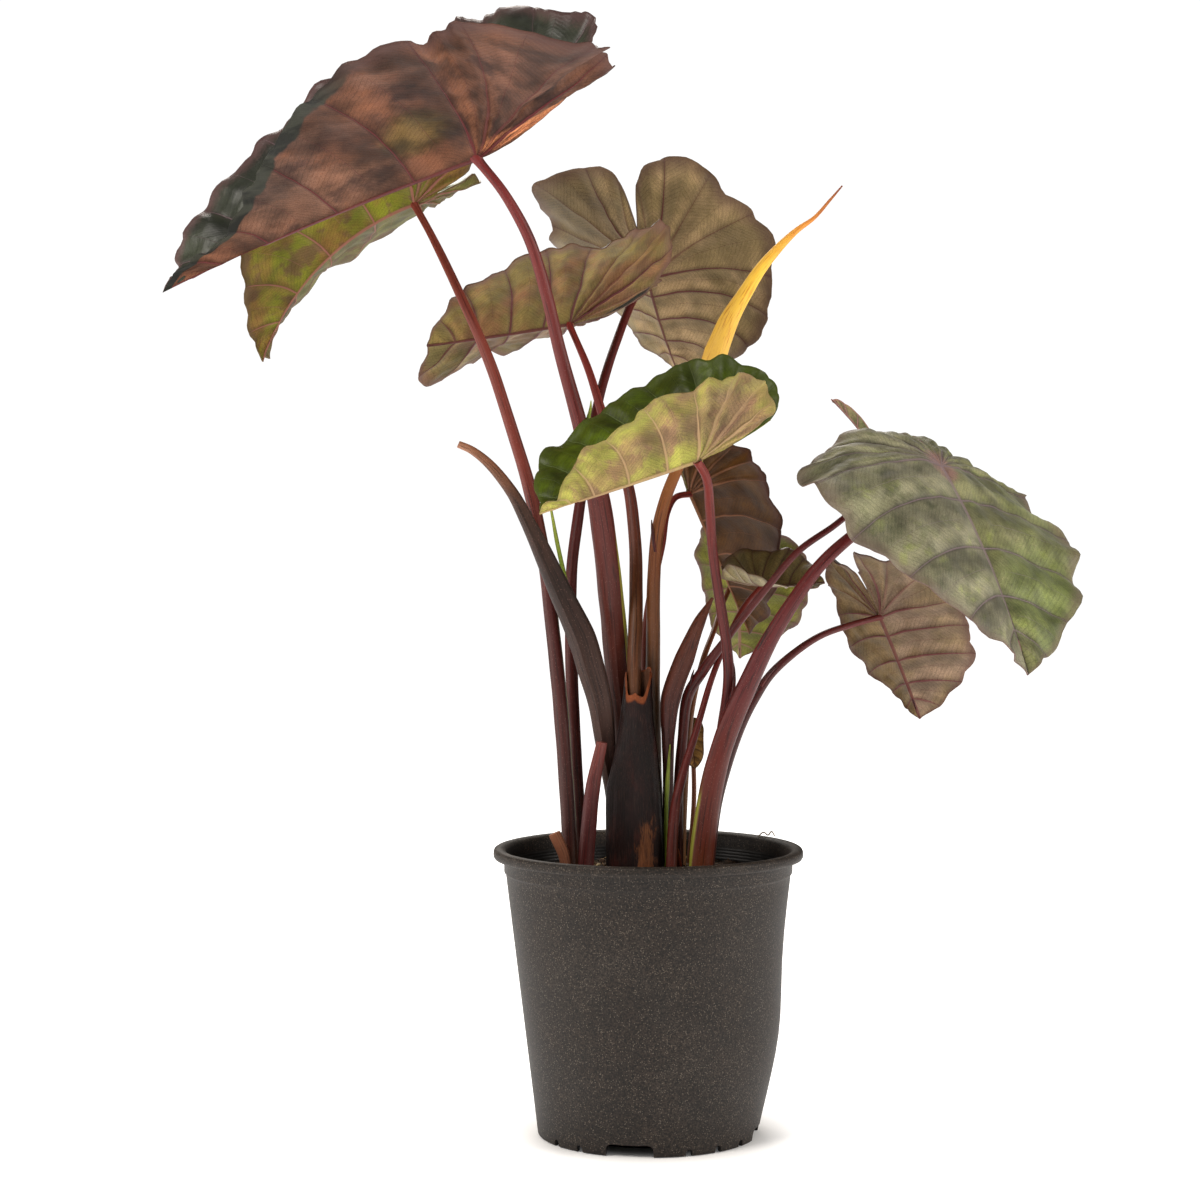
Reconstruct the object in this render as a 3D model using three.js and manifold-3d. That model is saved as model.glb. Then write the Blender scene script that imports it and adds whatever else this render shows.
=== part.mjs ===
// Potted colocasia: large veined leaves on long stalks, in a plain dark grower's pot.
// Millimetres, +Z up. The origin is the middle of the flat disc under the pot.
// The leaves fan out along X, and the side that faces -Y is the front.
import * as THREE from 'three';
import { mergeVertices } from 'three/addons/utils/BufferGeometryUtils.js';
import Module from 'manifold-3d';

// Pot
const POT_HEIGHT = 214;
const RIM_RADIUS = 115.5;
const LIP_DEPTH = 8;
const BAND_RADIUS = 107.5;
const BAND_BOTTOM = 195;
const FOOT_RADIUS = 82.5;
const WALL = 1.8;
const FLOOR = 2.2;
const DISC_RADIUS = 54;
const CHANNEL_RISE = 10;
const SKIRT = 3;
const POT_SIDES = 36;

// The soft wall bulges a little on the right, low down
const BULGE = 6;
const BULGE_HEIGHT = 75;
const BULGE_SPREAD = 50;

// Openings in the foot
const WIDE_NOTCH = 35;
const WIDE_NOTCH_COUNT = 4;
const WIDE_NOTCH_START = -100.5;
const SMALL_NOTCH = 5;
const SMALL_NOTCH_RISE = 5;
const SMALL_NOTCHES = [-145, -128, -70, -53, -36, 52, 142];
const DRAIN_COUNT = 8;
const DRAIN_RADIUS = 7;
const DRAIN_CIRCLE = 67;

// Soil
const SOIL_TOP = 192;
const SOIL_LUMPS = 2.4;
const SOIL_ROOM = 0.7;
const SOIL_SEED = 11;

// Gap between pieces that touch
const GAP = 0.3;

// Blades and stalks
const BLADE = 0.8;
const RIB = 0.9;
const MIDRIB = 1.3;
const STALK_SIDES = 7;
const RING_STOPS = [0, 0.34, 0.64, 0.86, 1];
const SMALL_RING_STOPS = [0, 0.42, 0.78, 1];

// Half of a leaf's margin, from the tip to the notch at the stalk: along the midrib in tip lengths
// in front of the stalk and in lobe lengths behind it, then across in full widths
const MARGIN = [
  [1, 0],
  [0.93, 0.055],
  [0.82, 0.135],
  [0.66, 0.25],
  [0.48, 0.355],
  [0.28, 0.44],
  [0.08, 0.485],
  [-0.25, 0.5],
  [-0.55, 0.47],
  [-0.82, 0.38],
  [-0.97, 0.25],
  [-0.98, 0.12],
  [-0.8, 0.035],
  [-0.3, 0],
];

// Each leaf. hub is where the stalk meets the blade. tip, lobe, left and right are lengths from it,
// notch is a share of lobe. Turns are in degrees: fold and curl raise each half, droop bends the
// front down, rise bends the lobes up, twist turns the blade about its midrib towards the tip,
// lobeLeft and lobeRight fold the lobes more, and nudges shift the margin in places.
const LEAVES = {
  leaf_1: {
    hub: [-124.7, -50, 718.5],
    tip: 254,
    lobe: 141,
    left: 128,
    right: 138,
    notch: 0.2,
    heading: 170,
    pitch: -18,
    roll: -4,
    foldLeft: 41,
    foldRight: 58,
    curlLeft: -7,
    curlRight: 8,
    droop: 7,
    rise: 54,
    twist: 13,
    sweep: 5,
    full: 0.02,
    open: 1,
    openRight: -2,
    uneven: 0,
    wave: 5,
    waves: 5,
    phase: 0.4,
    lobeLeft: -24,
    lobeRight: -26,
    nudges: [
      [1, 0.2, 0.12, -25, 0],
      [1, 0.47, 0.075, 11, -11],
      [1, 0.55, 0.075, -9, 17],
      [1, 0.63, 0.075, 14, 15],
      [1, 0.71, 0.075, -6, -32],
      [1, 0.79, 0.075, -13, -3],
      [1, 0.87, 0.075, -16, -30],
      [-1, 0.2, 0.12, 19, 0],
      [-1, 0.47, 0.07, -18, 0],
      [-1, 0.6, 0.06, -3, -5],
      [-1, 0.68, 0.06, 22, 8],
      [-1, 0.84, 0.06, 6, -8],
    ],
  },
  leaf_2: {
    hub: [-180.2, 95, 702.3],
    tip: 179,
    lobe: 58,
    left: 90,
    right: 98,
    notch: 0.31,
    heading: 181,
    pitch: -21,
    roll: 22,
    foldLeft: 10,
    foldRight: 18,
    curlLeft: 32,
    curlRight: 14,
    droop: 57,
    rise: 15,
    twist: 8,
    sweep: 3,
    full: 0.18,
    open: 8,
    openRight: 0,
    uneven: 0,
    wave: 3,
    waves: 4,
    phase: 1.3,
    nudges: [
      [-1, 0.375, 0.035, 2, -11],
      [-1, 0.44, 0.025, 0, -8],
    ],
  },
  leaf_3: {
    hub: [-60.4, 120, 611.2],
    tip: 116,
    lobe: 101,
    left: 101,
    right: 62,
    notch: 0.3,
    heading: 201,
    pitch: -11,
    roll: 6,
    foldLeft: 45,
    foldRight: -12,
    curlLeft: -32,
    curlRight: 25,
    droop: -4,
    rise: 28,
    twist: 11,
    sweep: -8,
    full: 0.16,
    open: -10,
    openRight: 0,
    uneven: 0.05,
    wave: 2.5,
    waves: 4,
    phase: 2.1,
    nudges: [
      [-1, 0.11, 0.08, 18, -14],
      [1, 0.12, 0.06, 4, 0],
    ],
  },
  leaf_4: {
    hub: [3.6, 225, 655.2],
    tip: 87,
    lobe: 104,
    left: 124,
    right: 113,
    notch: 0.44,
    heading: 65,
    pitch: -59,
    roll: -11,
    foldLeft: 31,
    foldRight: -1,
    curlLeft: 20,
    curlRight: -24,
    droop: 4,
    rise: 12,
    twist: 15,
    sweep: -8,
    full: 0.22,
    open: 4.5,
    openRight: 23,
    uneven: 0.04,
    wave: 3,
    waves: 5,
    phase: 0.9,
    lobeLeft: -10,
    lobeRight: -15,
    nudges: [
      [1, 0.6, 0.09, -27, 0],
      [1, 0.3, 0.1, 5, 0],
      [1, 0.8, 0.06, -9, 0],
      [-1, 0.66, 0.09, -20, 0],
    ],
  },
  leaf_5: {
    hub: [32.9, -88, 500.3],
    tip: 122,
    lobe: 76,
    left: 77,
    right: 94,
    notch: 0.27,
    heading: 193,
    pitch: -19,
    roll: 2,
    foldLeft: 45,
    foldRight: 41,
    curlLeft: -9,
    curlRight: 2,
    droop: -2,
    rise: 13,
    twist: 4,
    sweep: 9,
    full: 0.2,
    open: -1,
    openRight: 9,
    uneven: -0.12,
    wave: 3,
    waves: 4,
    phase: 2.8,
    lobeLeft: 3,
    lobeRight: 4,
    nudges: [
      [1, 0.22, 0.14, -11, 0],
      [-1, 0.17, 0.09, 12, 0],
      [-1, 0.48, 0.06, 6, 0],
      [-1, 0.62, 0.08, -5, 0],
    ],
  },
  leaf_6: {
    hub: [34.3, 102, 477.6],
    tip: 123,
    lobe: 46,
    left: 41,
    right: 80,
    notch: 0.35,
    heading: 28,
    pitch: -63,
    roll: 1,
    foldLeft: 26,
    foldRight: 30,
    curlLeft: 11,
    curlRight: -23,
    droop: 3,
    rise: 26,
    twist: 13,
    sweep: -2,
    full: 0.19,
    open: -5,
    openRight: 0,
    uneven: 0.09,
    wave: 2,
    waves: 4,
    phase: 1.7,
    small: true,
  },
  leaf_7: {
    hub: [86.5, 32, 407.9],
    tip: 50,
    lobe: 34,
    left: 39,
    right: 38,
    notch: 0.28,
    heading: -21,
    pitch: 1,
    roll: 28,
    foldLeft: 23,
    foldRight: 30,
    curlLeft: -14,
    curlRight: 29,
    droop: -6,
    rise: 23,
    twist: 14,
    sweep: -0.6,
    full: 0.08,
    open: -15,
    openRight: 0,
    uneven: 0.06,
    wave: 1.4,
    waves: 3,
    phase: 0.2,
    small: true,
  },
  leaf_8: {
    hub: [176.6, 40, 384.1],
    tip: 91,
    lobe: 67,
    left: 46,
    right: 64,
    notch: 0.36,
    heading: 43,
    pitch: -58,
    roll: -7,
    foldLeft: 12,
    foldRight: 12,
    curlLeft: -5,
    curlRight: 16,
    droop: 7,
    rise: -26,
    twist: -15,
    sweep: -2.4,
    full: 0.18,
    open: 8,
    openRight: -11,
    uneven: -0.11,
    wave: 1.6,
    waves: 4,
    phase: 2.2,
    nudges: [
      [-1, 0.17, 0.1, 9, 0],
      [1, 0.2, 0.12, -4, 0],
      [-1, 0.92, 0.05, -26, 0],
      [1, 0.65, 0.14, -5, 0],
    ],
    small: true,
  },
  leaf_9: {
    hub: [211, -50, 497.3],
    tip: 175,
    lobe: 64,
    left: 108,
    right: 108,
    notch: 0.39,
    heading: -59,
    pitch: -47,
    roll: -2,
    foldLeft: -11,
    foldRight: 7,
    curlLeft: -16,
    curlRight: -41,
    droop: 21,
    rise: -45,
    twist: 3,
    sweep: 5,
    full: 0.13,
    open: 21,
    openRight: 0,
    uneven: 0.1,
    wave: 4,
    waves: 6,
    phase: 1.1,
  },
  leaf_10: {
    hub: [74.9, 176, 414.8],
    tip: 92,
    lobe: 47,
    left: 36,
    right: 58,
    notch: 0.35,
    heading: 81,
    pitch: -58,
    roll: 4,
    foldLeft: 14,
    foldRight: 1,
    curlLeft: 10,
    curlRight: -6,
    droop: -10,
    rise: 0,
    twist: -1,
    sweep: 4,
    full: 0.17,
    open: 7,
    openRight: 0,
    uneven: 0,
    wave: 1.4,
    waves: 3,
    phase: 0.6,
    small: true,
  },
  leaf_11: {
    hub: [34.2, 68, 293.4],
    tip: 29,
    lobe: 13,
    left: 10,
    right: 10,
    notch: 0.3,
    heading: -80,
    pitch: -72,
    roll: 0,
    foldLeft: 4,
    foldRight: 6,
    curlLeft: 10,
    curlRight: 14,
    droop: -8,
    rise: 5,
    twist: 4,
    sweep: 1,
    full: 0.2,
    open: 0,
    openRight: 0,
    uneven: 0,
    wave: 0.5,
    waves: 3,
    phase: 0.3,
    small: true,
  },
  leaf_12: {
    hub: [169.9, 16, 509.5],
    tip: 51,
    lobe: 16,
    left: 9,
    right: 9,
    notch: 0.3,
    heading: 178,
    pitch: 55,
    roll: 5,
    foldLeft: 48,
    foldRight: 40,
    curlLeft: 25,
    curlRight: 20,
    droop: 12,
    rise: 5,
    twist: 20,
    sweep: 4,
    full: 0.05,
    open: 0,
    openRight: 0,
    uneven: 0,
    wave: 1,
    waves: 3,
    phase: 1.4,
    nudges: [
      [1, 0.16, 0.07, 4, 0],
      [-1, 0.16, 0.07, 2, 0],
      [1, 0.42, 0.1, -4, 0],
      [-1, 0.42, 0.1, -4, 0],
    ],
    small: true,
  },
};

// Stalks from below the soil up to each hub, as x, y, z and radius
const STALKS = {
  stalk_1: [
    [-12, 32, 150, 8],
    [-12, 32, 192, 9.2],
    [-16.5, 26, 291.5, 9.6],
    [-22, 24, 337, 9.6],
    [-27.5, 15, 398, 9.5],
    [-37, -2, 473, 8.7],
    [-50.5, -14, 527.5, 5.6],
    [-65.5, -26, 582.5, 4.8],
    [-74, -34, 618.5, 4.4],
    [-87, -42, 661, 4.2],
    [-104.5, -48, 693, 3.6],
    [-125.3, -50.1, 719.2, 3.2],
  ],
  stalk_2: [
    [-58, 4, 150, 5],
    [-58, 4, 192, 5.4],
    [-60.5, 5, 248.5, 5.6],
    [-66, 8, 323.5, 5.6],
    [-71, 10, 372, 5.4],
    [-77, 12, 424, 5.2],
    [-88.5, 14, 480.5, 5],
    [-102, 20, 525.5, 4.6],
    [-120.5, 32, 580, 4.2],
    [-141, 50, 626, 3.6],
    [-165.5, 80, 676, 3],
    [-180.6, 95.4, 703.0, 2.6],
  ],
  stalk_3: [
    [-10.5, 0, 285, 4.8],
    [-10.5, 0.5, 320, 5],
    [-10.5, 8, 353, 5.4],
    [-9, 26, 397.5, 5.2],
    [-9.5, 44, 442.5, 4.8],
    [-14.5, 62, 483.5, 4.4],
    [-24.5, 78, 511.5, 4],
    [-34.5, 92, 541, 3.6],
    [-45.5, 106, 576, 3],
    [-60.7, 120.3, 612.0, 2.4],
  ],
  stalk_4: [
    [-49, 17, 150, 4.6],
    [-49, 17, 192, 5],
    [-52.5, 20, 247, 5],
    [-56.5, 30, 321.5, 4.8],
    [-58, 42, 370.5, 4.6],
    [-57.5, 56, 419.5, 4.4],
    [-52, 75, 465, 4.2],
    [-41.5, 115, 528, 3.9],
    [-34.5, 140, 562, 3.7],
    [-22.5, 172, 601, 3.5],
    [-8, 205, 638, 3.2],
    [4.0, 225.6, 655.7, 2.8],
  ],
  stalk_5: [
    [40, 22, 150, 4.6],
    [40, 22, 192, 4.8],
    [49, 16, 255, 4.6],
    [56.5, 5, 307, 4.4],
    [59.5, -8, 339.5, 4.2],
    [58, -14, 362, 4],
    [53, -22, 393.5, 3.8],
    [46.5, -34, 434.5, 3.6],
    [43.5, -54, 465.5, 3.4],
    [40, -76, 488.5, 3.2],
    [32.6, -88.6, 500.9, 2.8],
  ],
  stalk_6: [
    [0, 44, 150, 3.4],
    [0, 44, 192, 3.6],
    [-1.5, 46, 320.5, 3.4],
    [-1, 52, 373.5, 3.2],
    [4.5, 58, 408, 3],
    [11.5, 70, 438.5, 2.8],
    [16, 84, 463.5, 2.6],
    [23, 94, 475, 2.4],
    [35.0, 102.5, 477.8, 2.2],
  ],
  stalk_7: [
    [17, -12, 150, 4],
    [17, -12, 192, 4.4],
    [20, -6, 242.5, 4],
    [26.5, 0, 271, 3.2],
    [35.5, 4, 299, 2.6],
    [48.5, 12, 341, 2.3],
    [61.5, 18, 372, 2.2],
    [74, 26, 394.5, 2],
    [87.1, 32.3, 408.5, 1.8],
  ],
  stalk_8: [
    [45, 7, 150, 4],
    [45, 7, 192, 4.2],
    [51.5, 5, 245, 3.9],
    [59.5, 3, 276.5, 3.8],
    [70, 2, 306.5, 3.8],
    [81, 3, 327.5, 3.7],
    [92.5, 6, 343.5, 3.3],
    [111.5, 10, 360, 2.8],
    [130.5, 16, 371.5, 2.6],
    [152.5, 26, 378.5, 2.4],
    [177.4, 40.4, 384.3, 2],
  ],
  stalk_9: [
    [38, -13, 150, 8.6],
    [38, -13, 192, 9],
    [42.5, -14, 235.5, 8.8],
    [48.5, -15, 269.5, 8.4],
    [58, -16, 301.5, 8.1],
    [71, -22, 333, 7.7],
    [88, -32, 370, 6.2],
    [108.5, -40, 404, 5.2],
    [126, -41, 427, 4.7],
    [146.5, -37, 445.5, 4.3],
    [172.5, -30, 464, 3.9],
    [194.5, -30, 478.5, 3.6],
    [211.5, -50.6, 497.8, 3],
  ],
  stalk_10: [
    [26, 40, 150, 3],
    [26, 40, 192, 3.2],
    [32.5, 46, 305, 2.6],
    [42.5, 66, 347, 2.3],
    [53, 96, 371.5, 2.2],
    [59.5, 124, 387.5, 2.1],
    [67, 148, 401, 2],
    [75.1, 176.8, 415.2, 1.8],
  ],
  stalk_11: [
    [33, 68, 150, 2],
    [33, 68, 192, 2],
    [36.5, 70, 241.5, 1.9],
    [36, 71, 272, 1.8],
    [34.1, 67.9, 294.3, 1.6],
  ],
  stalk_12: [
    [23, 25, 150, 3.8],
    [23, 25, 192, 4],
    [23.5, 23, 261.5, 3.8],
    [26, 20, 292, 3.8],
    [30, 18, 325, 4.2],
    [40.5, 12, 344, 4],
    [62.5, 2, 375, 2.8],
    [88.5, -18, 410, 2.6],
    [110, -25, 435.5, 2.5],
    [138, -17, 455, 2.4],
    [161.5, -2, 474.5, 2.3],
    [173, 10, 493, 2],
    [169.7, 16.3, 510.3, 1.7],
  ],
};

// The closed yellow spathe and its stalk, the rolled leaf, and the three stumps
const SPEARS = {
  spathe_stalk: [
    [8, 27, 150, 5],
    [8, 27, 192, 5.4],
    [5, 26, 276.5, 5.5],
    [4, 25, 329.5, 5.5],
    [4, 24, 367.5, 5.4],
    [4.5, 22, 412.5, 5],
    [7.5, 21, 450.5, 4.6],
    [13.5, 20, 474.5, 4.4],
    [24, 20, 501.5, 4.2],
    [34.5, 20, 533, 4.2],
    [42, 20, 556.4, 4.2],
  ],
  spathe: [
    [42.1, 20, 556.7, 4.2],
    [45.5, 20, 568.5, 7.5],
    [51, 20, 583.5, 9],
    [60, 20, 606, 7.4],
    [71, 22, 625, 5.6],
    [84, 25, 645.5, 4.5],
    [99.5, 29, 663.5, 3.3],
    [112.5, 33, 676, 2.3],
    [125.5, 36, 685.5, 1.5],
    [137.5, 39, 699, 1.1],
    [147, 41, 710, 0.6],
  ],
  rolled_leaf: [
    [15, 14, 150, 4.6],
    [15, 14, 192, 4.6],
    [15, 13, 247.5, 4],
    [15, 12, 274, 4.2],
    [15, 11, 296.5, 5],
    [17, 10, 324.5, 7.6],
    [27, 8, 354, 7.4],
    [38.5, 5, 382.5, 4.4],
    [48, 3, 400, 1],
  ],
  stump_1: [
    [-26, 22, 150, 5],
    [-26, 22, 192, 5.2],
    [-26, 20, 247, 5.4],
    [-31.5, 9, 289.5, 7.6],
    [-36, -2, 324, 9.4],
    [-43.5, -7, 351, 10.4],
    [-49.5, -8, 371, 10.6],
    [-63.5, -9, 401, 9],
    [-77.5, -9, 432, 7.2],
    [-89.5, -10, 457, 5.4],
    [-101, -11, 478.5, 4.5],
    [-117, -12, 498.5, 3.7],
    [-130.5, -13, 509.5, 3],
    [-140.5, -14, 514, 2.6],
  ],
  stump_2: [
    [-47, -17, 150, 5.6],
    [-47, -17, 192, 5.9],
    [-44, -17, 234, 5.8],
    [-41, -18, 262, 5.4],
    [-34.5, -19, 294, 3.9],
  ],
  stump_3: [
    [-61, -15, 155, 4],
    [-61, -15, 196, 4.2],
    [-62.5, -15, 209, 4.4],
    [-70, -15, 226, 4.4],
  ],
};

// The old sheath trunk, as height, centre x, half width across and half width in depth
const TRUNK = [
  [150, -10, 19, 15],
  [203, -9.6, 22, 17],
  [257, -10.6, 20.6, 16],
  [281, -9, 16.8, 13.6],
  [307, -9, 12.9, 11.6],
  [330, -8, 10.8, 10.6],
  [344, -7.7, 10.4, 10.4],
];
const TRUNK_SIDES = 20;
const MOUTH_FRONT = 330;
const MOUTH_BACK = 346;
const MOUTH_RADIUS = 8.8;
const MOUTH_FLOOR = 318;

const wasm = await Module();
wasm.setup();

function seededRandom(seed) {
  let state = seed >>> 0;
  return () => {
    state = (Math.imul(state, 1664525) + 1013904223) >>> 0;
    return state / 4294967296;
  };
}

function radians(angle) {
  return (angle * Math.PI) / 180;
}

function smooth(low, high, value) {
  const share = Math.min(1, Math.max(0, (value - low) / (high - low)));
  return share * share * (3 - 2 * share);
}

// A closed geometry as a solid, with its faces pointing out
function solid(geometry) {
  const bare = geometry.clone();
  bare.deleteAttribute('normal');
  bare.deleteAttribute('uv');
  const merged = mergeVertices(bare, 1e-4);
  const index = merged.index.array;
  const points = merged.attributes.position;
  const corners = [];
  let volume = 0;
  for (let i = 0; i < index.length; i += 3) {
    const [a, b, c] = [index[i], index[i + 1], index[i + 2]];
    if (a !== b && b !== c && c !== a) {
      corners.push(a, b, c);
      const one = new THREE.Vector3().fromBufferAttribute(points, a);
      const two = new THREE.Vector3().fromBufferAttribute(points, b);
      const three = new THREE.Vector3().fromBufferAttribute(points, c);
      volume += one.dot(two.cross(three));
    }
  }
  if (volume < 0) {
    for (let i = 0; i < corners.length; i += 3) {
      [corners[i], corners[i + 1]] = [corners[i + 1], corners[i]];
    }
  }
  const vertProperties = new Float32Array(points.array);
  const triVerts = new Uint32Array(corners);
  const mesh = new wasm.Mesh({ numProp: 3, vertProperties, triVerts });
  mesh.merge();
  return new wasm.Manifold(mesh);
}

function geometryOf(manifold) {
  const mesh = manifold.getMesh();
  const geometry = new THREE.BufferGeometry();
  geometry.setAttribute('position', new THREE.BufferAttribute(mesh.vertProperties, 3));
  geometry.setIndex(new THREE.BufferAttribute(mesh.triVerts, 1));
  geometry.computeVertexNormals();
  return geometry;
}

// A profile of radius and height turned about the Z axis
function turned(profile, sides) {
  const points = profile.map(([radius, height]) => new THREE.Vector2(radius, height));
  const geometry = new THREE.LatheGeometry(points, sides);
  geometry.rotateX(Math.PI / 2);
  return geometry;
}

// The bulge of the pot's wall, which the soil follows
function bulged(geometry, inner = 60) {
  const points = geometry.attributes.position;
  for (let i = 0; i < points.count; i += 1) {
    const x = points.getX(i);
    const y = points.getY(i);
    const z = points.getZ(i);
    const radius = Math.hypot(x, y);
    if (radius > inner) {
      const facing = Math.max(0, x / radius) ** 2;
      const share = Math.exp(-(((z - BULGE_HEIGHT) / BULGE_SPREAD) ** 2)) * smooth(1, 24, z);
      const scale = 1 + (BULGE * share * facing) / radius;
      points.setXY(i, x * scale, y * scale);
    }
  }
  return geometry;
}

function wallRadius(height) {
  const share = height / BAND_BOTTOM;
  return FOOT_RADIUS + (BAND_RADIUS - 1.2 - FOOT_RADIUS) * share;
}

function makePot() {
  const underLip = POT_HEIGHT - LIP_DEPTH;
  const inner = (height) => wallRadius(height) - WALL;
  const floorTop = CHANNEL_RISE + FLOOR;
  const profile = [
    [0, 0],
    [DISC_RADIUS, 0],
    [DISC_RADIUS + 2.5, CHANNEL_RISE],
    [FOOT_RADIUS - SKIRT - 1.5, CHANNEL_RISE],
    [FOOT_RADIUS - SKIRT, 0],
    [FOOT_RADIUS, 0],
    [wallRadius(28), 28],
    [wallRadius(60), 60],
    [wallRadius(100), 100],
    [wallRadius(150), 150],
    [wallRadius(BAND_BOTTOM), BAND_BOTTOM],
    [BAND_RADIUS, BAND_BOTTOM + 1.2],
    [BAND_RADIUS, underLip],
    [RIM_RADIUS - 1.6, underLip],
    [RIM_RADIUS, underLip + 2.4],
    [RIM_RADIUS, POT_HEIGHT - 2.4],
    [RIM_RADIUS - 2, POT_HEIGHT - 0.3],
    [RIM_RADIUS - 4.4, POT_HEIGHT],
    [BAND_RADIUS - WALL + 1, POT_HEIGHT - 2],
    [BAND_RADIUS - WALL, underLip - 2],
    [inner(150), 150],
    [inner(100), 100],
    [inner(60), 60],
    [inner(28), 28],
    [inner(floorTop), floorTop],
    [DISC_RADIUS + 0.5, floorTop],
    [DISC_RADIUS - 1.8, FLOOR],
    [0, FLOOR],
  ];
  let pot = solid(bulged(turned(profile, POT_SIDES)));
  const cuts = [];
  for (let i = 0; i < WIDE_NOTCH_COUNT; i += 1) {
    cuts.push([WIDE_NOTCH_START + (i * 360) / WIDE_NOTCH_COUNT, WIDE_NOTCH, CHANNEL_RISE - 1]);
  }
  for (const angle of SMALL_NOTCHES) {
    cuts.push([angle, SMALL_NOTCH, SMALL_NOTCH_RISE]);
  }
  for (const [angle, width, rise] of cuts) {
    const notch = new THREE.BoxGeometry(2 * SKIRT + 8, width, 2 * rise);
    notch.translate(FOOT_RADIUS - SKIRT / 2 - 1, 0, 0);
    notch.rotateZ(radians(angle));
    pot = pot.subtract(solid(notch));
  }
  for (let i = 0; i < DRAIN_COUNT; i += 1) {
    const drain = new THREE.CylinderGeometry(DRAIN_RADIUS, DRAIN_RADIUS, 8, 10);
    drain.rotateX(Math.PI / 2);
    drain.translate(DRAIN_CIRCLE, 0, CHANNEL_RISE + FLOOR / 2);
    drain.rotateZ(radians(((i + 0.5) * 360) / DRAIN_COUNT));
    pot = pot.subtract(solid(drain));
  }
  return pot;
}

function makeSoil(stems) {
  const inner = (height) => wallRadius(height) - WALL - SOIL_ROOM;
  const floorTop = CHANNEL_RISE + FLOOR + GAP;
  const bed = [
    [0, FLOOR + GAP],
    [DISC_RADIUS - 2.2, FLOOR + GAP],
    [DISC_RADIUS + 0.1, floorTop],
    [inner(floorTop), floorTop],
    [inner(28), 28],
    [inner(60), 60],
    [inner(100), 100],
    [inner(150), 150],
    [inner(SOIL_TOP) - 0.4, SOIL_TOP - 1],
    [92, SOIL_TOP - 0.5],
    [72, SOIL_TOP],
    [48, SOIL_TOP + 1],
    [22, SOIL_TOP + 1.5],
    [0, SOIL_TOP + 1.5],
  ];
  const geometry = bulged(turned(bed, POT_SIDES));
  const points = geometry.attributes.position;
  const random = seededRandom(SOIL_SEED);
  const bumps = Array.from({ length: 14 }, () => ({
    x: (random() - 0.5) * 170,
    y: (random() - 0.5) * 170,
    size: 10 + random() * 16,
    rise: (random() - 0.4) * 2 * SOIL_LUMPS,
  }));
  for (let i = 0; i < points.count; i += 1) {
    const x = points.getX(i);
    const y = points.getY(i);
    const z = points.getZ(i);
    const radius = Math.hypot(x, y);
    if (z > SOIL_TOP - 2 && radius < 95) {
      let rise = 0;
      for (const bump of bumps) {
        const away = Math.hypot(x - bump.x, y - bump.y) / bump.size;
        rise += bump.rise * Math.exp(-away * away);
      }
      points.setZ(i, z + rise);
    }
  }
  let soil = solid(geometry);
  for (const stem of stems) {
    soil = soil.subtract(stem);
  }
  return soil;
}

// A round tapered stem along a smooth line through its points, grown by a margin for its hole
function stemGeometry(stations, grow = 0, sides = STALK_SIDES) {
  const places = stations.map(([x, y, z]) => new THREE.Vector3(x, y, z));
  const line = new THREE.CatmullRomCurve3(places, false, 'centripetal');
  const rows = Math.ceil((stations.length - 1) * 1.3);
  const tube = new THREE.CylinderGeometry(1, 1, 1, sides, rows);
  const frames = [];
  let across = new THREE.Vector3(0, -1, 0);
  for (let row = 0; row <= rows; row += 1) {
    const along = row / rows;
    const tangent = line.getTangent(along);
    across = across.clone().addScaledVector(tangent, -across.dot(tangent)).normalize();
    const place = line.getPoint(along);
    if (row === 0) {
      place.addScaledVector(tangent, -grow);
    }
    const at = along * (stations.length - 1);
    const before = Math.min(stations.length - 2, Math.floor(at));
    const share = at - before;
    const radius = stations[before][3] * (1 - share) + stations[before + 1][3] * share + grow;
    frames.push({ place, across, up: new THREE.Vector3().crossVectors(tangent, across), radius });
  }
  const points = tube.attributes.position;
  const moved = new THREE.Vector3();
  for (let i = 0; i < points.count; i += 1) {
    const frame = frames[Math.round((points.getY(i) + 0.5) * rows)];
    moved.copy(frame.place);
    moved.addScaledVector(frame.across, points.getX(i) * frame.radius);
    moved.addScaledVector(frame.up, points.getZ(i) * frame.radius);
    points.setXYZ(i, moved.x, moved.y, moved.z);
  }
  return tube;
}

// The torn tube of old sheaths that stalk 3 stands in
function trunkGeometry(grow = 0) {
  const rows = TRUNK.length - 1;
  const tube = new THREE.CylinderGeometry(1, 1, 1, TRUNK_SIDES, rows);
  const points = tube.attributes.position;
  for (let i = 0; i < points.count; i += 1) {
    const row = Math.round((points.getY(i) + 0.5) * rows);
    const [height, middle, wide, deep] = TRUNK[row];
    const across = points.getX(i);
    const away = points.getZ(i);
    let z = height - (row === 0 ? grow : 0);
    if (row === rows) {
      z = MOUTH_FRONT + (MOUTH_BACK - MOUTH_FRONT) * smooth(-0.95, 0.15, away);
      z += 1.6 * across * Math.abs(across) - 1.2 * Math.cos(5 * Math.atan2(away, across));
    }
    points.setXYZ(i, middle + across * (wide + grow), away * (deep + grow), z);
  }
  return tube;
}

function makeTrunk(stalk) {
  const [, middle] = TRUNK[TRUNK.length - 1];
  const depth = MOUTH_BACK + 12 - MOUTH_FLOOR;
  const mouth = new THREE.CylinderGeometry(MOUTH_RADIUS + 0.6, 5.8, depth, 14);
  mouth.rotateX(Math.PI / 2);
  mouth.translate(middle - 0.6, 0, MOUTH_FLOOR + depth / 2);
  return solid(trunkGeometry()).subtract(solid(mouth)).subtract(stalk);
}

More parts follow.
